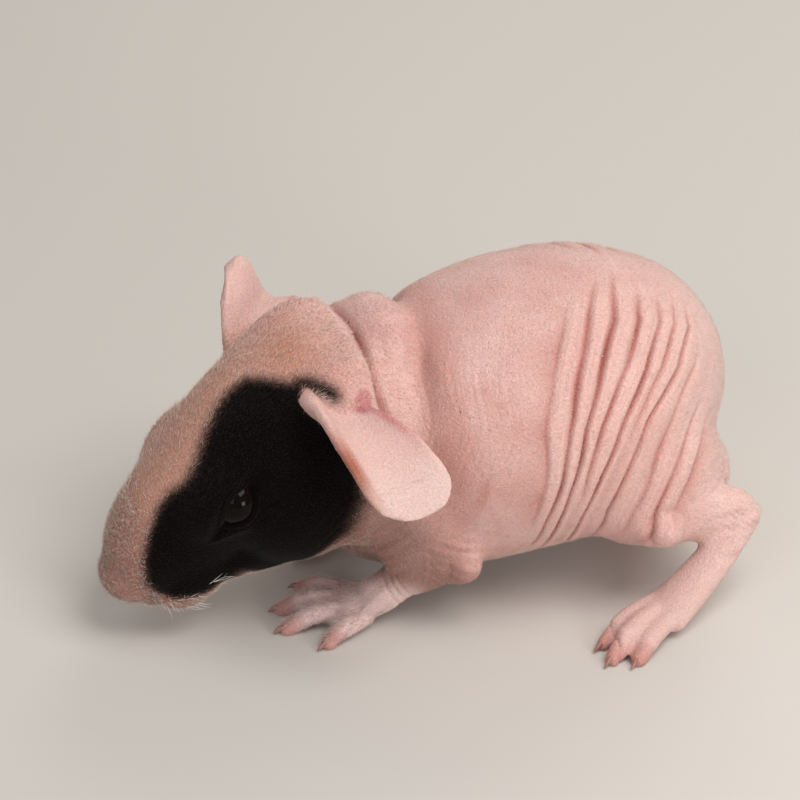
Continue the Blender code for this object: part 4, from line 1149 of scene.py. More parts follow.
# %% Feet and toe tips
fore = smooth_step(11.5, 7.0, points[:, 2]) * smooth_step(13.5, 17.5, points[:, 0])
shares["forefoot"] = fore * smooth_step(46.0, 43.0, points[:, 0]) * (local[:, 2] < -10.0)
hind = smooth_step(13.0, 16.5, np.abs(points[:, 1])) * smooth_step(-8.0, -12.0, points[:, 0])
shares["hindfoot"] = hind * smooth_step(17.5, 13.0, points[:, 2] + 0.28 * (points[:, 0] + 38.0))
shares["toe"] = np.zeros(len(points))
for mirror, fore_shift, hind_shift in ((1.0, 0.0, 0.0), (-1.0, RIGHT_FORE_SHIFT, RIGHT_HIND_SHIFT)):
    for shift, rows in ((fore_shift, FORE_TOES), (hind_shift, HIND_TOES)):
        for row in rows:
            tip = np.array(row[2]) * np.array([1.0, mirror, 1.0]) + shift
            away = np.linalg.norm(points - tip, axis=1)
            shares["toe"] = np.maximum(shares["toe"], smooth_step(4.2, 0.8, away))
print("points on the feet", int((shares["forefoot"] + shares["hindfoot"] > 0.5).sum()))

# %% [markdown]
# The face is told apart in the head's frame: the whole head, the rusty crown, nose,
# the underside of the jaw, which is coloured with painted shade, lips, and the mouth line
# and the nostrils, which are dark with painted shade.

# %% Face
x = local[:, 0]
y = local[:, 1]
z = local[:, 2]
above_mouth = z - np.interp(x, *zip(MOUTH_CORNER, MOUTH_MIDDLE, MOUTH_FRONT))
lip_height = np.interp(x, (MOUTH_CORNER[0], MOUTH_MIDDLE[0], MOUTH_FRONT[0]), (0.4, 1.2, 1.9))
slot = ((z - NOSTRIL[2]) + 0.5 * (np.abs(y) - NOSTRIL[1])) / 0.55
aside = ((np.abs(y) - NOSTRIL[1]) - 0.5 * (z - NOSTRIL[2])) / 1.3
shares["head"] = smooth_step(NAPE_CREASE_X - 1.0, NAPE_CREASE_X + 5.0, points[:, 0])
shares["head"] *= smooth_step(-24.0, -14.0, z)
shares["head"] *= smooth_step(-22.0, -10.0, x)
shares["crown"] = np.exp(-((x + 21.5) / 6.5) ** 2 - ((y - 1.0) / 9.0) ** 2) * smooth_step(0.0, 5.0, z)
shares["nose"] = smooth_step(9.0, 18.0, x)
# Painted shade: the underside of the jaw is coloured dark brown.
shares["jaw_shade"] = smooth_step(-14.0, -17.5, z + 0.35 * (x - 2.0)) * smooth_step(-24.0, -16.0, x)
shares["lip"] = smooth_step(-0.5, 0.0, above_mouth)
shares["lip"] *= smooth_step(lip_height + 0.5, lip_height - 0.1, above_mouth)
shares["lip"] *= smooth_step(6.6, 8.0, x)
# Painted shade: the mouth line is coloured dark.
shares["mouth_line_shade"] = np.exp(-((above_mouth + 0.1) / 0.3) ** 2) * smooth_step(7.0, 9.0, x)
# Painted shade: the nostril slits are coloured near black.
shares["nostril_shade"] = np.exp(-slot ** 2 - aside ** 2) * smooth_step(19.5, 21.0, x)
print("points on the lips", int((shares["lip"] > 0.5).sum()))

# %% [markdown]
# On the trunk the grooves are reddest: redder skin at the bottom of the folds, deepened
# with painted shade, as in the nape crease. The ridge tops are palest, a painted highlight.
# The rump is pale, the belly warm and brown, and a short red scratch crosses the left flank.

# %% Trunk and folds
shares["rump"] = smooth_step(-18.0, -36.0, points[:, 0])
shares["belly"] = smooth_step(14.0, 8.0, points[:, 2]) * smooth_step(16.0, 11.0, np.abs(points[:, 1]))
scratch_x = (points[:, 0] - 7.0 + 0.3 * (points[:, 2] - 27.0)) / 1.0
shares["scratch"] = np.exp(-scratch_x ** 2 - ((points[:, 2] - 28.0) / 3.2) ** 2) * (points[:, 1] > 0)
shares["valley"] = smooth_step(17.0, 12.5, points[:, 0]) * smooth_step(6.5, 10.5, points[:, 0])
# Painted highlight: the tops of the pleats are coloured paler.
shares["ridge"] = np.clip(folds / 0.22, 0.0, 1.0) * (1.0 - near_ear)
# Painted shade with redder skin: the bottoms of the pleats and the nape crease are coloured deep red.
fold_flush_and_shade = np.clip(-folds / 0.75, 0.0, 1.0) + 0.8 * np.clip((-nape - 0.7) / 0.9, 0.0, 1.0)
shares["groove_flush_and_shade"] = np.clip(fold_flush_and_shade, 0.0, 1.0) * (1.0 - near_ear)
print("points in the grooves", int((shares["groove_flush_and_shade"] > 0.5).sum()))

# %% [markdown]
# The ears are paler toward the far edge and red behind, where the skin is thinnest. On
# the left ear, painted shade darkens the front rim where it rolls over.

# %% Ears
shares["ear"] = near_ear
for name in ("ear_far", "rim_roll_shade", "red_rim"):
    shares[name] = np.zeros(len(points))
for side, (near, along, across, inner) in ear_map.items():
    shell = smooth_step(1.8, 1.0, near)
    rim = shell * np.exp(-((across - 0.96) / 0.15) ** 2) * smooth_step(0.7, 0.25, along)
    shares["red_rim"] = np.maximum(shares["red_rim"], 0.75 * rim)
    shares["ear_far"] = np.maximum(shares["ear_far"], shell * smooth_step(0.55, 0.9, along))
    if side == "left":
        # Painted shade along the rolled front rim of the left ear.
        rim_roll_shade = np.exp(-((across + 0.95) / 0.15) ** 2 - ((along - 0.66) / 0.22) ** 2)
        shares["rim_roll_shade"] = np.maximum(shares["rim_roll_shade"], shell * rim_roll_shade)
shares["red_rim"] = np.maximum(shares["red_rim"], np.clip(ear_dimple, 0.0, 1.0))

for name, values in shares.items():
    layer = skin.data.attributes.new(name, "FLOAT", "POINT")
    layer.data.foreach_set("value", np.asarray(values, np.float32))
print("markings stored:", ", ".join(shares))

# %% [markdown]
# ## Skin
#
# Living skin is never one colour. Blood shows through where it is thin, at the bottom of
# folds and at the toe tips, and painted shade deepens the fold bottoms further; the skin
# pales toward the rump. Broad mottling runs under all of it. The dark mask is pigment in
# the skin and in its short hairs, so its edge is broken by them. A list of layers keeps
# this readable: each marking names its strength and its colour, and one loop lays them
# over each other.

# %% Layers of skin colour
SKIN_PINK = "#d4a49b"
SKIN_PALE = "#dfb8af"
SKIN_FLUSH = "#c98b80"
SKIN_SPECK = "#5d3a2c"
MASK_BLACK = "#0c0807"
MASK_EDGE = "#3a261e"
LAYERS = (
    ("rump", 0.55, "#e1c1b8"),
    ("belly", 0.85, "#985f49"),
    ("valley", 0.45, "#c98b80"),
    # painted highlight on the pleat tops
    ("ridge", 0.55, "#e4bcb1"),
    # painted shade with redder skin at the bottom of the folds
    ("groove_flush_and_shade", 0.85, "#ac5346"),
    ("scratch", 0.50, "#bf6f66"),
    ("head", 0.85, "#b98873"),
    ("crown", 0.75, "#b5704f"),
    # painted shade under the jaw
    ("jaw_shade", 0.75, "#84594a"),
    ("nose", 0.85, "#a87465"),
    ("forefoot", 0.85, "#e2c6c2"),
    ("hindfoot", 0.85, "#d8b5ac"),
    ("toe", 0.75, "#bd7c72"),
    ("ear", 1.00, "#d9b3aa"),
    ("ear_far", 0.60, "#e0c5bd"),
    # painted shade along the left ear's rolled front rim
    ("rim_roll_shade", 0.95, "#a25a40"),
    ("red_rim", 0.85, "#b5525a"),
)
print(len(LAYERS), "layers of colour under the mask")

# %% [markdown]
# A material is a small network of nodes. One function adds a node, sets its options and
# links its inputs, so each line below reads as one node.

# %% Adding a node
def add(tree, kind, settings=None, **links):
    """Adds a node, sets its options, and fills its inputs by name with values, sockets or nodes."""
    node = tree.nodes.new(kind)
    for key, value in (settings or {}).items():
        setattr(node, key, value)
    for key, value in links.items():
        name = key.replace("_", " ")
        found = [s for s in node.inputs if s.enabled and s.name.lower() == name.lower()]
        socket = found[0] if found else node.inputs[int(key[1:])]
        if isinstance(value, bpy.types.Node):
            value = [s for s in value.outputs if s.enabled][0]
        if isinstance(value, bpy.types.NodeSocket):
            tree.links.new(value, socket)
        else:
            socket.default_value = value
    return node


test = bpy.data.node_groups.new("test", "ShaderNodeTree")
print("a noise node has the inputs", [i.name for i in add(test, "ShaderNodeTexNoise", Scale=2.0).inputs][:4])
bpy.data.node_groups.remove(test)

# %% [markdown]
# The layers are mixed from the broadest to the finest: mottling of nine and of three
# millimetres, the markings, brown specks, a grain as fine as the hairs, and the mask.

# %% Colour of the skin
MOTTLE_BROAD = 9.0
MOTTLE_SMALL = 3.2
SPECK_SPACING = 8.0
GRAIN = 0.28
RAGGED_EDGE = 0.8
# The lip colour is its own; the mouth line and nostrils are dark with painted shade.
FACE_LINES = (("lip", 0.8, "#b98a7a"), ("mouth_line_shade", 0.8, "#4a2a24"), ("nostril_shade", 1.0, "#1a0d0b"))
MIX_COLOUR = {"data_type": "RGBA"}
MULTIPLY = {"operation": "MULTIPLY"}
MULTIPLY_ADD = {"operation": "MULTIPLY_ADD"}


def lay_over(tree, colour, layers):
    """Each layer's colour over the ones before it, where its marking is."""
    for name, strength, code in layers:
        share = add(tree, "ShaderNodeAttribute", {"attribute_name": name})
        amount = add(tree, "ShaderNodeMath", MULTIPLY, i0=share.outputs["Fac"], i1=strength)
        colour = add(tree, "ShaderNodeMix", MIX_COLOUR, Factor=amount, A=colour, B=linear(code))
    return colour


def skin_colour(tree, where):
    """Mottled pink under every marking, with the mask last and its edge broken up."""
    broad = add(tree, "ShaderNodeTexNoise", Vector=where, Scale=1.0 / (MOTTLE_BROAD * MM), Detail=3.0)
    broad = add(tree, "ShaderNodeMapRange", Value=broad, From_Min=0.36, From_Max=0.68)
    colour = add(tree, "ShaderNodeMix", MIX_COLOUR, Factor=broad, A=linear(SKIN_PINK), B=linear(SKIN_PALE))
    patchy = add(tree, "ShaderNodeTexNoise", Vector=where, Scale=1.0 / (MOTTLE_SMALL * MM),
                 Detail=4.0, Roughness=0.6)
    patchy = add(tree, "ShaderNodeMapRange", Value=patchy, From_Min=0.48, From_Max=0.74, To_Max=0.22)
    colour = add(tree, "ShaderNodeMix", MIX_COLOUR, Factor=patchy, A=colour, B=linear(SKIN_FLUSH))
    colour = lay_over(tree, colour, LAYERS)
    specks = add(tree, "ShaderNodeTexVoronoi", Vector=where, Scale=1.0 / (SPECK_SPACING * MM))
    specks = add(tree, "ShaderNodeMapRange", Value=specks,
                 From_Min=0.026, From_Max=0.038, To_Min=0.65, To_Max=0.0)
    colour = add(tree, "ShaderNodeMix", MIX_COLOUR, Factor=specks, A=colour, B=linear(SKIN_SPECK))
    grain = add(tree, "ShaderNodeTexNoise", Vector=where, Scale=1.0 / (GRAIN * MM), Detail=2.0)
    grain = add(tree, "ShaderNodeMapRange", Value=grain, From_Min=0.3, From_Max=0.7, To_Min=0.88, To_Max=1.10)
    colour = add(tree, "ShaderNodeHueSaturation", Value=grain, Color=colour)
    ragged = add(tree, "ShaderNodeTexNoise", Vector=where, Scale=1.0 / (RAGGED_EDGE * MM),
                 Detail=4.0, Roughness=0.7)
    depth = add(tree, "ShaderNodeAttribute", {"attribute_name": "mask"})
    depth = add(tree, "ShaderNodeMath", MULTIPLY_ADD, i0=ragged, i1=1.3, i2=depth.outputs["Fac"])
    fringe = add(tree, "ShaderNodeMapRange", Value=depth, From_Min=-1.2, From_Max=0.9)
    cover = add(tree, "ShaderNodeMapRange", Value=depth, From_Min=-0.3, From_Max=1.5)
    colour = add(tree, "ShaderNodeMix", MIX_COLOUR, Factor=fringe, A=colour, B=linear(MASK_EDGE))
    colour = add(tree, "ShaderNodeMix", MIX_COLOUR, Factor=cover, A=colour, B=linear(MASK_BLACK))
    return lay_over(tree, colour, FACE_LINES), cover


print("finest pattern in the colour", GRAIN, "mm")

# %% [markdown]
# The surface itself is satin, a little rougher where the mask's short fur begins. Light
# enters skin and comes out about a millimetre away, redder, so a little subsurface
# scattering softens every shadow. Pores are about a third of a millimetre across and the
# net of fine lines has meshes of three quarters of a millimetre.

# %% Bare skin material
SKIN_IOR = 1.42
SCATTER_DEPTH = 0.9
NET_MESH = 0.75
PORE_SIZE = 0.35
LUMP_SIZE = 1.3
GLOSS_PATCH = 1.6
RELIEF_HEIGHT = 0.16


def fine_relief(tree, where):
    """Height of the net of tiny lines, with pores and small lumps over it."""
    net = add(tree, "ShaderNodeTexVoronoi", {"feature": "DISTANCE_TO_EDGE"},
              Vector=where, Scale=1.0 / (NET_MESH * MM))
    height = add(tree, "ShaderNodeMapRange", Value=net, From_Max=0.16, To_Max=0.35)
    for size, strength in ((PORE_SIZE, 0.6), (LUMP_SIZE, 0.7)):
        lumps = add(tree, "ShaderNodeTexNoise", Vector=where, Scale=1.0 / (size * MM), Detail=3.0)
        height = add(tree, "ShaderNodeMath", MULTIPLY_ADD, i0=lumps, i1=strength, i2=height)
    return height


def skin_material():
    """Loose bare skin: satin, faintly translucent, with pores and a net of tiny lines."""
    made, tree, shader = blank_material("bare_skin_loose_pink")
    where = add(tree, "ShaderNodeTexCoord").outputs["Object"]
    colour, cover = skin_colour(tree, where)
    tree.links.new(colour.outputs[2], shader.inputs["Base Color"])
    rough = add(tree, "ShaderNodeTexNoise", Vector=where, Scale=1.0 / (GLOSS_PATCH * MM), Detail=3.0)
    rough = add(tree, "ShaderNodeMapRange", Value=rough, From_Min=0.2, From_Max=0.8, To_Min=0.48, To_Max=0.62)
    rough = add(tree, "ShaderNodeMath", MULTIPLY_ADD, i0=cover, i1=0.25, i2=rough)
    tree.links.new(rough.outputs[0], shader.inputs["Roughness"])
    tint = add(tree, "ShaderNodeMix", MIX_COLOUR, Factor=cover, A=linear("#ffffff"), B=linear("#3a3a3a"))
    tree.links.new(tint.outputs[2], shader.inputs["Specular Tint"])
    shader.inputs["IOR"].default_value = SKIN_IOR
    shader.inputs["Specular IOR Level"].default_value = 0.36
    shader.inputs["Subsurface Weight"].default_value = 0.30
    shader.inputs["Subsurface Radius"].default_value = (1.0, 0.38, 0.22)
    shader.inputs["Subsurface Scale"].default_value = SCATTER_DEPTH * MM
    shader.inputs["Sheen Weight"].default_value = 0.03
    shader.inputs["Sheen Roughness"].default_value = 0.45
    height = fine_relief(tree, where)
    bump = add(tree, "ShaderNodeBump", Height=height, Strength=0.8, Distance=RELIEF_HEIGHT * MM)
    tree.links.new(bump.outputs[0], shader.inputs["Normal"])
    return made


skin.data.materials.clear()
skin.data.materials.append(skin_material())
print("skin material nodes", len(skin.data.materials[0].node_tree.nodes))

# %% [markdown]
# The skin takes the place of every solid of flesh. It rides on the one body that there is.

# %% The skin in its place
skin.data.polygons.foreach_set("use_smooth", [True] * len(skin.data.polygons))
skin.name = "whole_skin"
write_points(skin, points + ORIGIN_SHIFT)
sides = ("left", "right")
legs = [side + "_" + part for side in sides for part in ("foreleg", "forefoot", "hindleg", "hindfoot")]
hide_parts("head", "neck", "torso", "left_ear", "right_ear", *legs)
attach(skin, "root")
print("the skin replaces", 5 + len(legs), "solids")

# %% [markdown]
# ## Fuzz
#
# The animal isn't quite bare. A short pale down covers it, thickest on the head, and the
# muzzle has stiffer curled bristles. Each hair is a real closed spike with three sides, so
# it catches light at the outline. Hairs are scattered by skin area, so they are as dense on
# a fold as between folds, and each takes its colour from the skin at its root.

# %% Where hairs are rooted
skin.data.calc_loop_triangles()
corners = np.empty(len(skin.data.loop_triangles) * 3, np.int32)
skin.data.loop_triangles.foreach_get("vertices", corners)
corners = corners.reshape(-1, 3)
skin_normals = read_normals(skin)
first, second, third = (points[corners[:, k]] for k in range(3))
triangle_area = 0.5 * np.linalg.norm(np.cross(second - first, third - first), axis=1)


def roots_on(wish, count, rng):
    """Random places on the skin, as many per square millimetre as the wish says."""
    running = np.cumsum(triangle_area * wish[corners[:, 0]])
    pick = corners[np.searchsorted(running, rng.random(count) * running[-1])]
    blend = rng.dirichlet((1.0, 1.0, 1.0), count)
    return pick[:, 0], (points[pick] * blend[:, :, None]).sum(axis=1)


on_head = smooth_step(NAPE_CREASE_X, NAPE_CREASE_X + 3.0, points[:, 0] + 0.17 * points[:, 1])
on_foot = np.maximum(shares["forefoot"], shares["hindfoot"])
open_skin = (lid_ratio > 1.12) * (points[:, 2] > SOLE_Z + 0.6)
open_skin = open_skin * (1.0 - shares["mouth_line_shade"]) * (shares["nostril_shade"] < 0.3)
ear_side = np.where(ear_map["left"][0] < ear_map["right"][0], 0, 1)
print("skin area", round(float(triangle_area.sum() / 100.0), 1), "square cm")

# %% [markdown]
# Down lies the way it is stroked: back along the trunk and head, down the limbs and out
# along the ears. For the export, each hair also needs its place on an unrolled skin, so
# the trunk, head, ears and feet each get a patch of one flat map.

# %% The lie of the hair and its place on the unrolled skin
EAR_WAYS = [unit(np.array(EARS[side]["front"][1]) - np.array(EARS[side]["front"][0])) for side in EARS]
TRUNK_WAY = np.array([-1.0, 0.0, -0.75])
FOOT_WAY = np.array([1.0, 0.15, -0.3])


def lie_of(root, place):
    """The stroking direction along the skin at each root."""
    turn_to_head = smooth_step(26.0, 34.0, place[:, 0])[:, None]
    way = TRUNK_WAY * (1.0 - turn_to_head) - head_turn[:, 0] * turn_to_head
    way = np.where(on_foot[root, None] > 0.5, FOOT_WAY, way)
    way = np.where(near_ear[root, None] > 0.5, np.array(EAR_WAYS)[ear_side[root]], way)
    return way


def unrolled(root, place):
    """Place of each root on the flat map: trunk left, head right, ears and feet in a strip."""
    local = body_to_head(place)
    trunk = np.stack([0.01 + 0.48 * (place[:, 0] + 45.0) / 100.0,
                      0.5 + 0.48 * np.arctan2(place[:, 1], place[:, 2] - FOLD_AXIS_Z) / math.pi], -1)
    head = np.stack([0.51 + 0.48 * (local[:, 0] + 36.0) / 64.0,
                     0.25 + 0.23 * np.arctan2(local[:, 1], local[:, 2] + 6.0) / math.pi], -1)
    ears = np.zeros((len(place), 2))
    for k, (near, along, across, inner) in enumerate(ear_map.values()):
        cell = 0.51 + 0.12 * (2 * k + (inner[root] > 0))
        here = np.stack([cell + 0.055 * (1.0 + across[root]), 0.52 + 0.2 * along[root]], -1)
        ears = np.where((ear_side[root] == k)[:, None], here, ears)
    left = (place[:, 1] > 0) * 0.24
    hind = (place[:, 0] < 0) * 0.12
    feet = np.stack([0.51 + left + hind + 0.11 * (place[:, 0] % 24.0) / 24.0,
                     0.76 + 0.22 * np.clip(place[:, 2] / 20.0, 0.0, 1.0)], -1)
    flat = np.where(on_head[root, None] > 0.5, head, trunk)
    flat = np.where(on_foot[root, None] > 0.5, feet, flat)
    return np.where(near_ear[root, None] > 0.5, ears, flat)


sample = np.arange(0, len(points), 1000)
print("the flat map spans", np.ptp(unrolled(sample, points[sample]), axis=0).round(2))

# %% [markdown]
# A hair is tinted by the skin that it grows from. At the mask's edge each hair is pink or
# black by a small chance of its own, which makes the edge soft and a little ragged.

# %% Colour at a root
def root_colour(root, rng):
    """The skin's own layers mixed at each root, with the mask's edge broken hair by hair."""
    between = 0.5 * np.array(linear(SKIN_PINK)[:3]) + 0.5 * np.array(linear(SKIN_PALE)[:3])
    colour = np.tile(between, (len(root), 1))
    # These layers include the painted shade of grooves, jaw and the ear's rolled rim and the painted
    # highlight of the pleat tops, so hairs there carry them too.
    for name, strength, code in LAYERS:
        colour += (shares[name][root] * strength)[:, None] * (np.array(linear(code)[:3]) - colour)
    dark = smooth_step(-0.9, 0.9, shares["mask"][root] + 0.3 * rng.standard_normal(len(root)))
    return colour * (1.0 - dark[:, None]), dark[:, None]


print("colour at the first root", root_colour(np.array([0]), np.random.default_rng(0))[0].round(2))

# %% [markdown]
# A hair is a closed spike: rings of three points that shrink toward one tip. All hairs of
# a kind are worked out together as one table of points, because tens of thousands of
# separate objects would be far too slow. Every hair keeps a small patch of the flat map.

# %% One mesh of many hairs
SPIKE_SIDES = 3
ROOT_SUNK = 0.04
TAPER = 0.7
CURL_TURN = 3.8
PATCH_RADIUS = 0.0015


def spike_faces(count, rings):
    """Corners of the triangles of all spikes: a base, rings of sides and a tip."""
    sides = SPIKE_SIDES
    tip = sides * rings
    faces = [(0, 2, 1)]
    for k in range(rings):
        for j in range(sides):
            a, b = sides * k + j, sides * k + (j + 1) % sides
            faces += [(a, b, tip)] if k == rings - 1 else [(a, b, b + sides), (a, b + sides, a + sides)]
    starts = np.arange(count) * (tip + 1)
    return (np.array(faces)[None] + starts[:, None, None]).reshape(-1)


def spike_points(root, place, way, length, radius, droop, curl, rings):
    """Points of all spikes, and each one's place on the flat map."""
    out = skin_normals[root]
    across = unit(np.cross(way, out))
    upper = np.cross(way, across)
    size = SPIKE_SIDES * rings + 1
    spots = np.empty((len(place), size, 3))
    patch = np.repeat(unrolled(root, place)[:, None], size, axis=1)
    for k in range(rings + 1):
        t = k / rings
        centre = place - ROOT_SUNK * out + way * (t * length)[:, None]
        centre += across * (curl * math.sin(CURL_TURN * t))[:, None] - out * (droop * t * t)[:, None]
        if k == rings:
            spots[:, -1] = centre
            continue
        for j in range(SPIKE_SIDES):
            angle = 2.0 * math.pi * j / SPIKE_SIDES
            ring = across * math.cos(angle) + upper * math.sin(angle)
            nth = SPIKE_SIDES * k + j
            spots[:, nth] = centre + ring * (radius * (1.0 - t) ** TAPER)
            patch[:, nth] += PATCH_RADIUS * (1.0 - t) * np.array([math.cos(angle), math.sin(angle)])
    return spots, patch


def hair_mesh(name, spots, patch, corners_of, tint):
    """One object of all spikes, with its flat map and the tint of each hair."""
    mesh = bpy.data.meshes.new(name)
    mesh.vertices.add(spots.shape[0] * spots.shape[1])
    mesh.vertices.foreach_set("co", ((spots.reshape(-1, 3) + ORIGIN_SHIFT) * MM).ravel())
    mesh.loops.add(len(corners_of))
    mesh.loops.foreach_set("vertex_index", corners_of)
    mesh.polygons.add(len(corners_of) // 3)
    mesh.polygons.foreach_set("loop_start", np.arange(0, len(corners_of), 3))
    mesh.update(calc_edges=True)
    mesh.polygons.foreach_set("use_smooth", [True] * len(mesh.polygons))
    mesh.uv_layers.new(name="OFBake").data.foreach_set("uv", patch.reshape(-1, 2)[corners_of].ravel())
    shade = np.repeat(np.column_stack([tint, np.ones(len(tint))]), spots.shape[1], axis=0)
    mesh.attributes.new("tint", "FLOAT_COLOR", "POINT").data.foreach_set("color", shade.ravel())
    piece = bpy.data.objects.new(name, mesh)
    bpy.context.scene.collection.objects.link(piece)
    return piece


print("triangles of a down hair", len(spike_faces(1, 1)) // 3)
print("triangles of a whisker", len(spike_faces(1, 10)) // 3)

# %% [markdown]
# Guinea pig down is fine keratin with almost no pigment on the pink skin, tan on the
# crown, and black in the mask. Its gloss is soft because each hair is far thinner than
# the highlight. Real down is about 0.03 mm thick; it is drawn at up to twice that here,
# so that it shows in a picture of this size.

# %% Material of the hairs
HAIR_IOR = 1.55


def hair_material():
    """Fine unpigmented keratin: each hair carries its own tint, varied a little by a soft noise."""
    made, tree, shader = blank_material("fine_soft_down")
    tint = add(tree, "ShaderNodeAttribute", {"attribute_name": "tint"})
    where = add(tree, "ShaderNodeTexCoord").outputs["Object"]
    change = add(tree, "ShaderNodeTexNoise", Vector=where, Scale=1.0 / (2.0 * MM), Detail=2.0)
    change = add(tree, "ShaderNodeMapRange", Value=change, From_Min=0.3, From_Max=0.7, To_Min=0.9, To_Max=1.1)
    colour = add(tree, "ShaderNodeHueSaturation", Value=change, Color=tint.outputs["Color"])
    tree.links.new(colour.outputs[0], shader.inputs["Base Color"])
    shader.inputs["Roughness"].default_value = 0.5
    shader.inputs["IOR"].default_value = HAIR_IOR
    shader.inputs["Specular IOR Level"].default_value = 0.3
    return made


DOWN = hair_material()
print("hair material nodes", len(DOWN.node_tree.nodes))

# %% [markdown]
# One function makes a whole coat. Directions are scattered round the lie of the hair and
# raised off the skin. Each hair is paler than the skin at its root by a random share. Only
# bristles and whiskers have more than one ring, so only they bend and curl.

# %% One coat
MASK_HAIR = "#14100e"
DROOP = 0.15
CURL = 0.24


def coat(name, wish, count, length, radius, lift, tips, paler, mess=0.28, rings=1):
    """One kind of hair: its roots, directions, lengths and tints, made into one mesh."""
    rng = np.random.default_rng(count)
    root, spots = roots_on(wish, count, rng)
    out = skin_normals[root]
    way = unit(lie_of(root, spots) + mess * rng.standard_normal((count, 3)))
    way = unit(way - out * (way * out).sum(axis=1)[:, None])
    raised = np.radians(lift * rng.uniform(0.6, 1.5, count))[:, None]
    way = way * np.cos(raised) + out * np.sin(raised)
    long = rng.uniform(*length, count) * long_hair[root]
    colour, dark = root_colour(root, rng)
    share = rng.uniform(*paler, count)[:, None]
    tip = np.array(linear(tips)[:3])
    colour = colour + (tip - colour) * share * (1.0 - dark)
    colour += dark * np.array(linear(MASK_HAIR)[:3]) * rng.uniform(0.5, 1.6, count)[:, None]
    if rings > 3:
        colour = np.tile(tip, (count, 1))
    bend = 1.0 if rings > 1 else 0.0
    curl = bend * rng.uniform(-CURL, CURL, count) * long
    spikes, patch = spike_points(root, spots, way, long, radius, bend * DROOP * long, curl, rings)
    piece = hair_mesh(name, spikes, patch, spike_faces(count, rings), colour)
    piece.data.materials.append(DOWN)
    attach(piece, "root")
    print(name, count, "hairs,", len(piece.data.polygons), "triangles")


print("hairs droop by", DROOP, "and curl by up to", CURL, "of their length")

# %% [markdown]
# ## Where each kind grows
#
# Lengths and radii are in millimetres. Down covers the trunk in two pieces, so that no
# piece is too big. It is finest on the ears and feet. Head hair is longest on the bridge
# of the nose. Short stiff bristles stand on the nose and lips, and a few white whiskers
# grow at the side of the mouth.

# %% Down, bristles and whiskers
not_ear = (1.0 - near_ear) * open_skin
in_mask = smooth_step(-0.8, 0.4, shares["mask"])
trunk_skin = not_ear * (1.0 - on_head) * (1.0 - on_foot)
on_top = smooth_step(0.4, 0.9, skin_normals[:, 2])
long_hair = 1.0 + 0.6 * smooth_step(13.0, 17.0, points[:, 0]) * on_top
long_hair += 0.5 * smooth_step(-8.0, 2.0, x) * smooth_step(0.2, 0.8, skin_normals[:, 2]) * on_head
lip_side = smooth_step(9.0, 13.0, x) * smooth_step(4.0, 6.0, np.abs(y))
lip_side = lip_side * (np.abs(above_mouth - 2.6) < 2.0)
coat("body_fuzz_1", trunk_skin, 45000, (0.40, 0.80), 0.026, 24.0, "#f4e4dc", (0.25, 0.70))
coat("body_fuzz_2", trunk_skin, 44000, (0.40, 0.80), 0.026, 24.0, "#f4e4dc", (0.25, 0.70))
coat("head_fuzz", not_ear * on_head * (1.0 - in_mask), 26000, (0.50, 1.05), 0.027, 32.0,
     "#f0dfd4", (0.30, 0.85))
coat("mask_fur", not_ear * in_mask, 30000, (0.28, 0.58), 0.024, 16.0, MASK_HAIR, (0.0, 0.4))
coat("ear_down", near_ear * open_skin, 8000, (0.22, 0.42), 0.016, 15.0, "#f2dcd4", (0.15, 0.50))
coat("foot_down", not_ear * on_foot, 7000, (0.28, 0.55), 0.022, 20.0, "#f4e8e2", (0.30, 0.70))
coat("muzzle_bristles", not_ear * shares["nose"] * (1.0 - 0.9 * in_mask), 5200, (0.60, 1.20), 0.046, 38.0,
     "#efe2d8", (0.5, 0.95), mess=0.8, rings=2)
coat("lip_bristles", not_ear * shares["lip"], 700, (0.60, 1.30), 0.050, 50.0,
     "#f3e9de", (0.8, 1.0), mess=0.6, rings=4)
coat("whiskers", not_ear * lip_side, 46, (2.0, 3.6), 0.065, 36.0, "#f6efe6", (0.8, 1.0), rings=10)
print("the longest hairs have", round(float(long_hair.max()), 2), "times the length of their kind")

# %% [markdown]
# ## Eyes
#
# The eyes are almost black all through, with a clear wet cornea that stands a little
# proud. They sit low in their sockets and look up and out. What brings them alive is one
# clean reflection, so they are kept very smooth.

# %% The shape of an eye
CORNEA_RISE = 0.20
CORNEA_WIDTH = 0.25
TEAR_IOR = 1.336
EYE_GAP = 0.03


def eye_shell(sign):
    """A ball with a bulge where the cornea is, turned up and set in the head's frame."""
    points, faces = ball((0.0, 0.0, 0.0), (1.0, 1.0, 1.0), rings=48, sides=64)
    points = points[:, [1, 0, 2]]
    bulge = CORNEA_RISE * np.exp(-(points[:, 0] ** 2 + points[:, 2] ** 2) / CORNEA_WIDTH) * (points[:, 1] > 0)
    points = points * (EYE_RADIUS - EYE_GAP + bulge)[:, None]
    lift = math.radians(EYE_LIFT)
    out = points[:, 1] * math.cos(lift) - points[:, 2] * math.sin(lift)
    rise = points[:, 1] * math.sin(lift) + points[:, 2] * math.cos(lift)
    turned = np.stack([points[:, 0], sign * (out + EYE_DEPTH_Y), rise - EYE_LOW], -1)
    return turned, faces if sign < 0 else [tuple(reversed(f)) for f in faces]


print("points of an eye", len(eye_shell(1.0)[0]))

# %% [markdown]
# The brown of the iris is so dark that it shows only as a faint cloud in the black. A film
# of tears gives the surface a mirror's polish, but water mirrors only a little of the light.

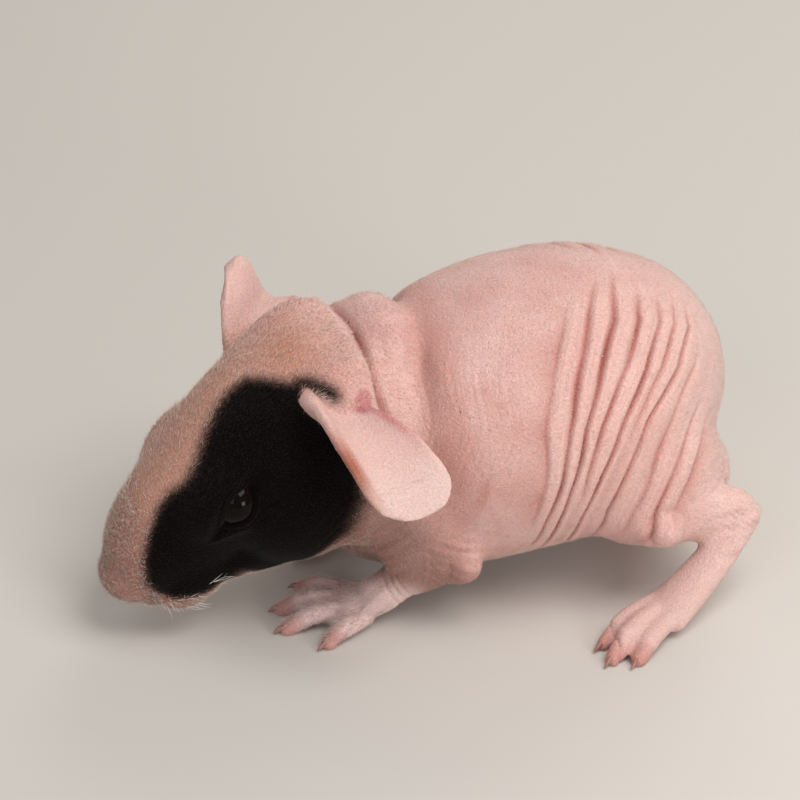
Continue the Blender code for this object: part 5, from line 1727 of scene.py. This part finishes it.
# %% Both eyes
def eye_material():
    """A wet eye: near-black iris and pupil under a clear, smooth cornea."""
    made, tree, shader = blank_material("wet_dark_eye")
    where = add(tree, "ShaderNodeTexCoord").outputs["Object"]
    iris = add(tree, "ShaderNodeTexNoise", Vector=where, Scale=1.0 / (1.0 * MM), Detail=2.0)
    iris = add(tree, "ShaderNodeMapRange", Value=iris, From_Min=0.3, From_Max=0.7)
    brown = add(tree, "ShaderNodeMix", MIX_COLOUR, Factor=iris, A=linear("#080605"), B=linear("#120b09"))
    tree.links.new(brown.outputs[2], shader.inputs["Base Color"])
    shader.inputs["Roughness"].default_value = 0.03
    shader.inputs["IOR"].default_value = TEAR_IOR
    shader.inputs["Specular IOR Level"].default_value = 0.17
    return made


wet_eye = eye_material()
for side, sign in (("left", 1.0), ("right", -1.0)):
    ball_points, ball_faces = eye_shell(sign)
    eye = new_mesh_object(side + "_eyeball", head_to_body(ball_points) + ORIGIN_SHIFT, ball_faces)
    eye.data.polygons.foreach_set("use_smooth", [True] * len(eye.data.polygons))
    eye.data.materials.append(wet_eye)
    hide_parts(side + "_eye")
    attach(eye, "root")
print("eyeballs", round(2 * EYE_RADIUS, 1), "mm across")

# %% [markdown]
# ## Claws
#
# The claws are small horn cones, pinkish brown and half clear, curved down to the ground.
# Horn grows in rings, and walking polishes it, so the rings are faint.

# %% The shape of a claw
CLAW_LENGTH = 1.9
CLAW_RADIUS = 0.72
CLAW_ROOT = 0.9
CLAW_TAPER = 0.78
CLAW_ARCH = 0.16
CLAW_HOOK = 0.50
CLAW_FLATNESS = 0.72
CLAW_SIDES = 20
CLAW_RINGS = 15


def claw_piece(knuckle, tip, radius):
    """A curved cone with its root inside the toe and its point just over the floor."""
    ahead = unit((np.array(tip) - np.array(knuckle)) * np.array([1.0, 1.0, 0.0]))
    side = np.cross((0.0, 0.0, 1.0), ahead)
    up = np.array([0.0, 0.0, 1.0])
    root = np.array(tip) + ahead * (radius * 0.8 - CLAW_ROOT) + up * 0.12
    angle = np.arange(CLAW_SIDES)[:, None] * 2 * math.pi / CLAW_SIDES
    rows = []
    for t in np.linspace(0.0, 1.0, CLAW_RINGS):
        size = CLAW_RADIUS * (1.0 - CLAW_TAPER * t ** 1.5)
        rise = CLAW_ARCH * math.sin(math.pi * t) - CLAW_HOOK * t ** 2.2
        centre = root + ahead * t * CLAW_LENGTH + up * rise
        rows.append(centre + size * (np.cos(angle) * side * CLAW_FLATNESS + np.sin(angle) * up))
    points = np.vstack(rows)
    points[:, 2] = np.maximum(points[:, 2], SOLE_Z + 0.04)
    return points, shell_faces(len(rows), CLAW_SIDES)


print("points of a claw", len(claw_piece(*FORE_TOES[0][1:])[0]))

# %% [markdown]
# The horn is cloudy, lighter and darker at random, and light goes half a millimetre into it.

# %% All claws
def claw_material():
    """Clear pinkish-brown horn, polished by walking, with fine rings of growth."""
    made, tree, shader = blank_material("clear_brown_horn")
    where = add(tree, "ShaderNodeTexCoord").outputs["Object"]
    cloud = add(tree, "ShaderNodeTexNoise", Vector=where, Scale=1.0 / (0.9 * MM), Detail=3.0)
    horn = add(tree, "ShaderNodeMix", MIX_COLOUR, Factor=cloud, A=linear("#7a4a3e"), B=linear("#b98a7c"))
    tree.links.new(horn.outputs[2], shader.inputs["Base Color"])
    shader.inputs["Roughness"].default_value = 0.32
    shader.inputs["IOR"].default_value = 1.54
    shader.inputs["Subsurface Weight"].default_value = 0.15
    shader.inputs["Subsurface Radius"].default_value = (1.0, 0.5, 0.3)
    shader.inputs["Subsurface Scale"].default_value = 0.5 * MM
    rings = add(tree, "ShaderNodeTexNoise", Vector=where, Scale=1.0 / (0.25 * MM), Detail=2.0)
    bump = add(tree, "ShaderNodeBump", Height=rings, Strength=0.4, Distance=0.05 * MM)
    tree.links.new(bump.outputs[0], shader.inputs["Normal"])
    return made


horn = claw_material()
for side, mirror in (("left", False), ("right", True)):
    for part, toes, shift in (("forefoot", FORE_TOES, RIGHT_FORE_SHIFT),
                              ("hindfoot", HIND_TOES, RIGHT_HIND_SHIFT)):
        for which, row in enumerate(toes, start=1):
            shell = claw_piece(*row[1:])
            if mirror:
                shell = moved(mirrored(shell), shift)
            name = side + "_" + part + "_claw_" + str(which)
            claw = new_mesh_object(name + "_horn", shell[0] + ORIGIN_SHIFT, shell[1])
            claw.data.polygons.foreach_set("use_smooth", [len(p.vertices) == 4 for p in claw.data.polygons])
            claw.data.materials.append(horn)
            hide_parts(name)
            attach(claw, "root")
print("claws", 2 * (len(FORE_TOES) + len(HIND_TOES)))

# %% [markdown]
# ## Finishing
#
# The dressed animal must be the size of its solids. Colours are shown plainly, with no film curve.

# %% Finishing
bpy.context.scene.view_settings.view_transform = "Standard"
bpy.context.view_layer.update()
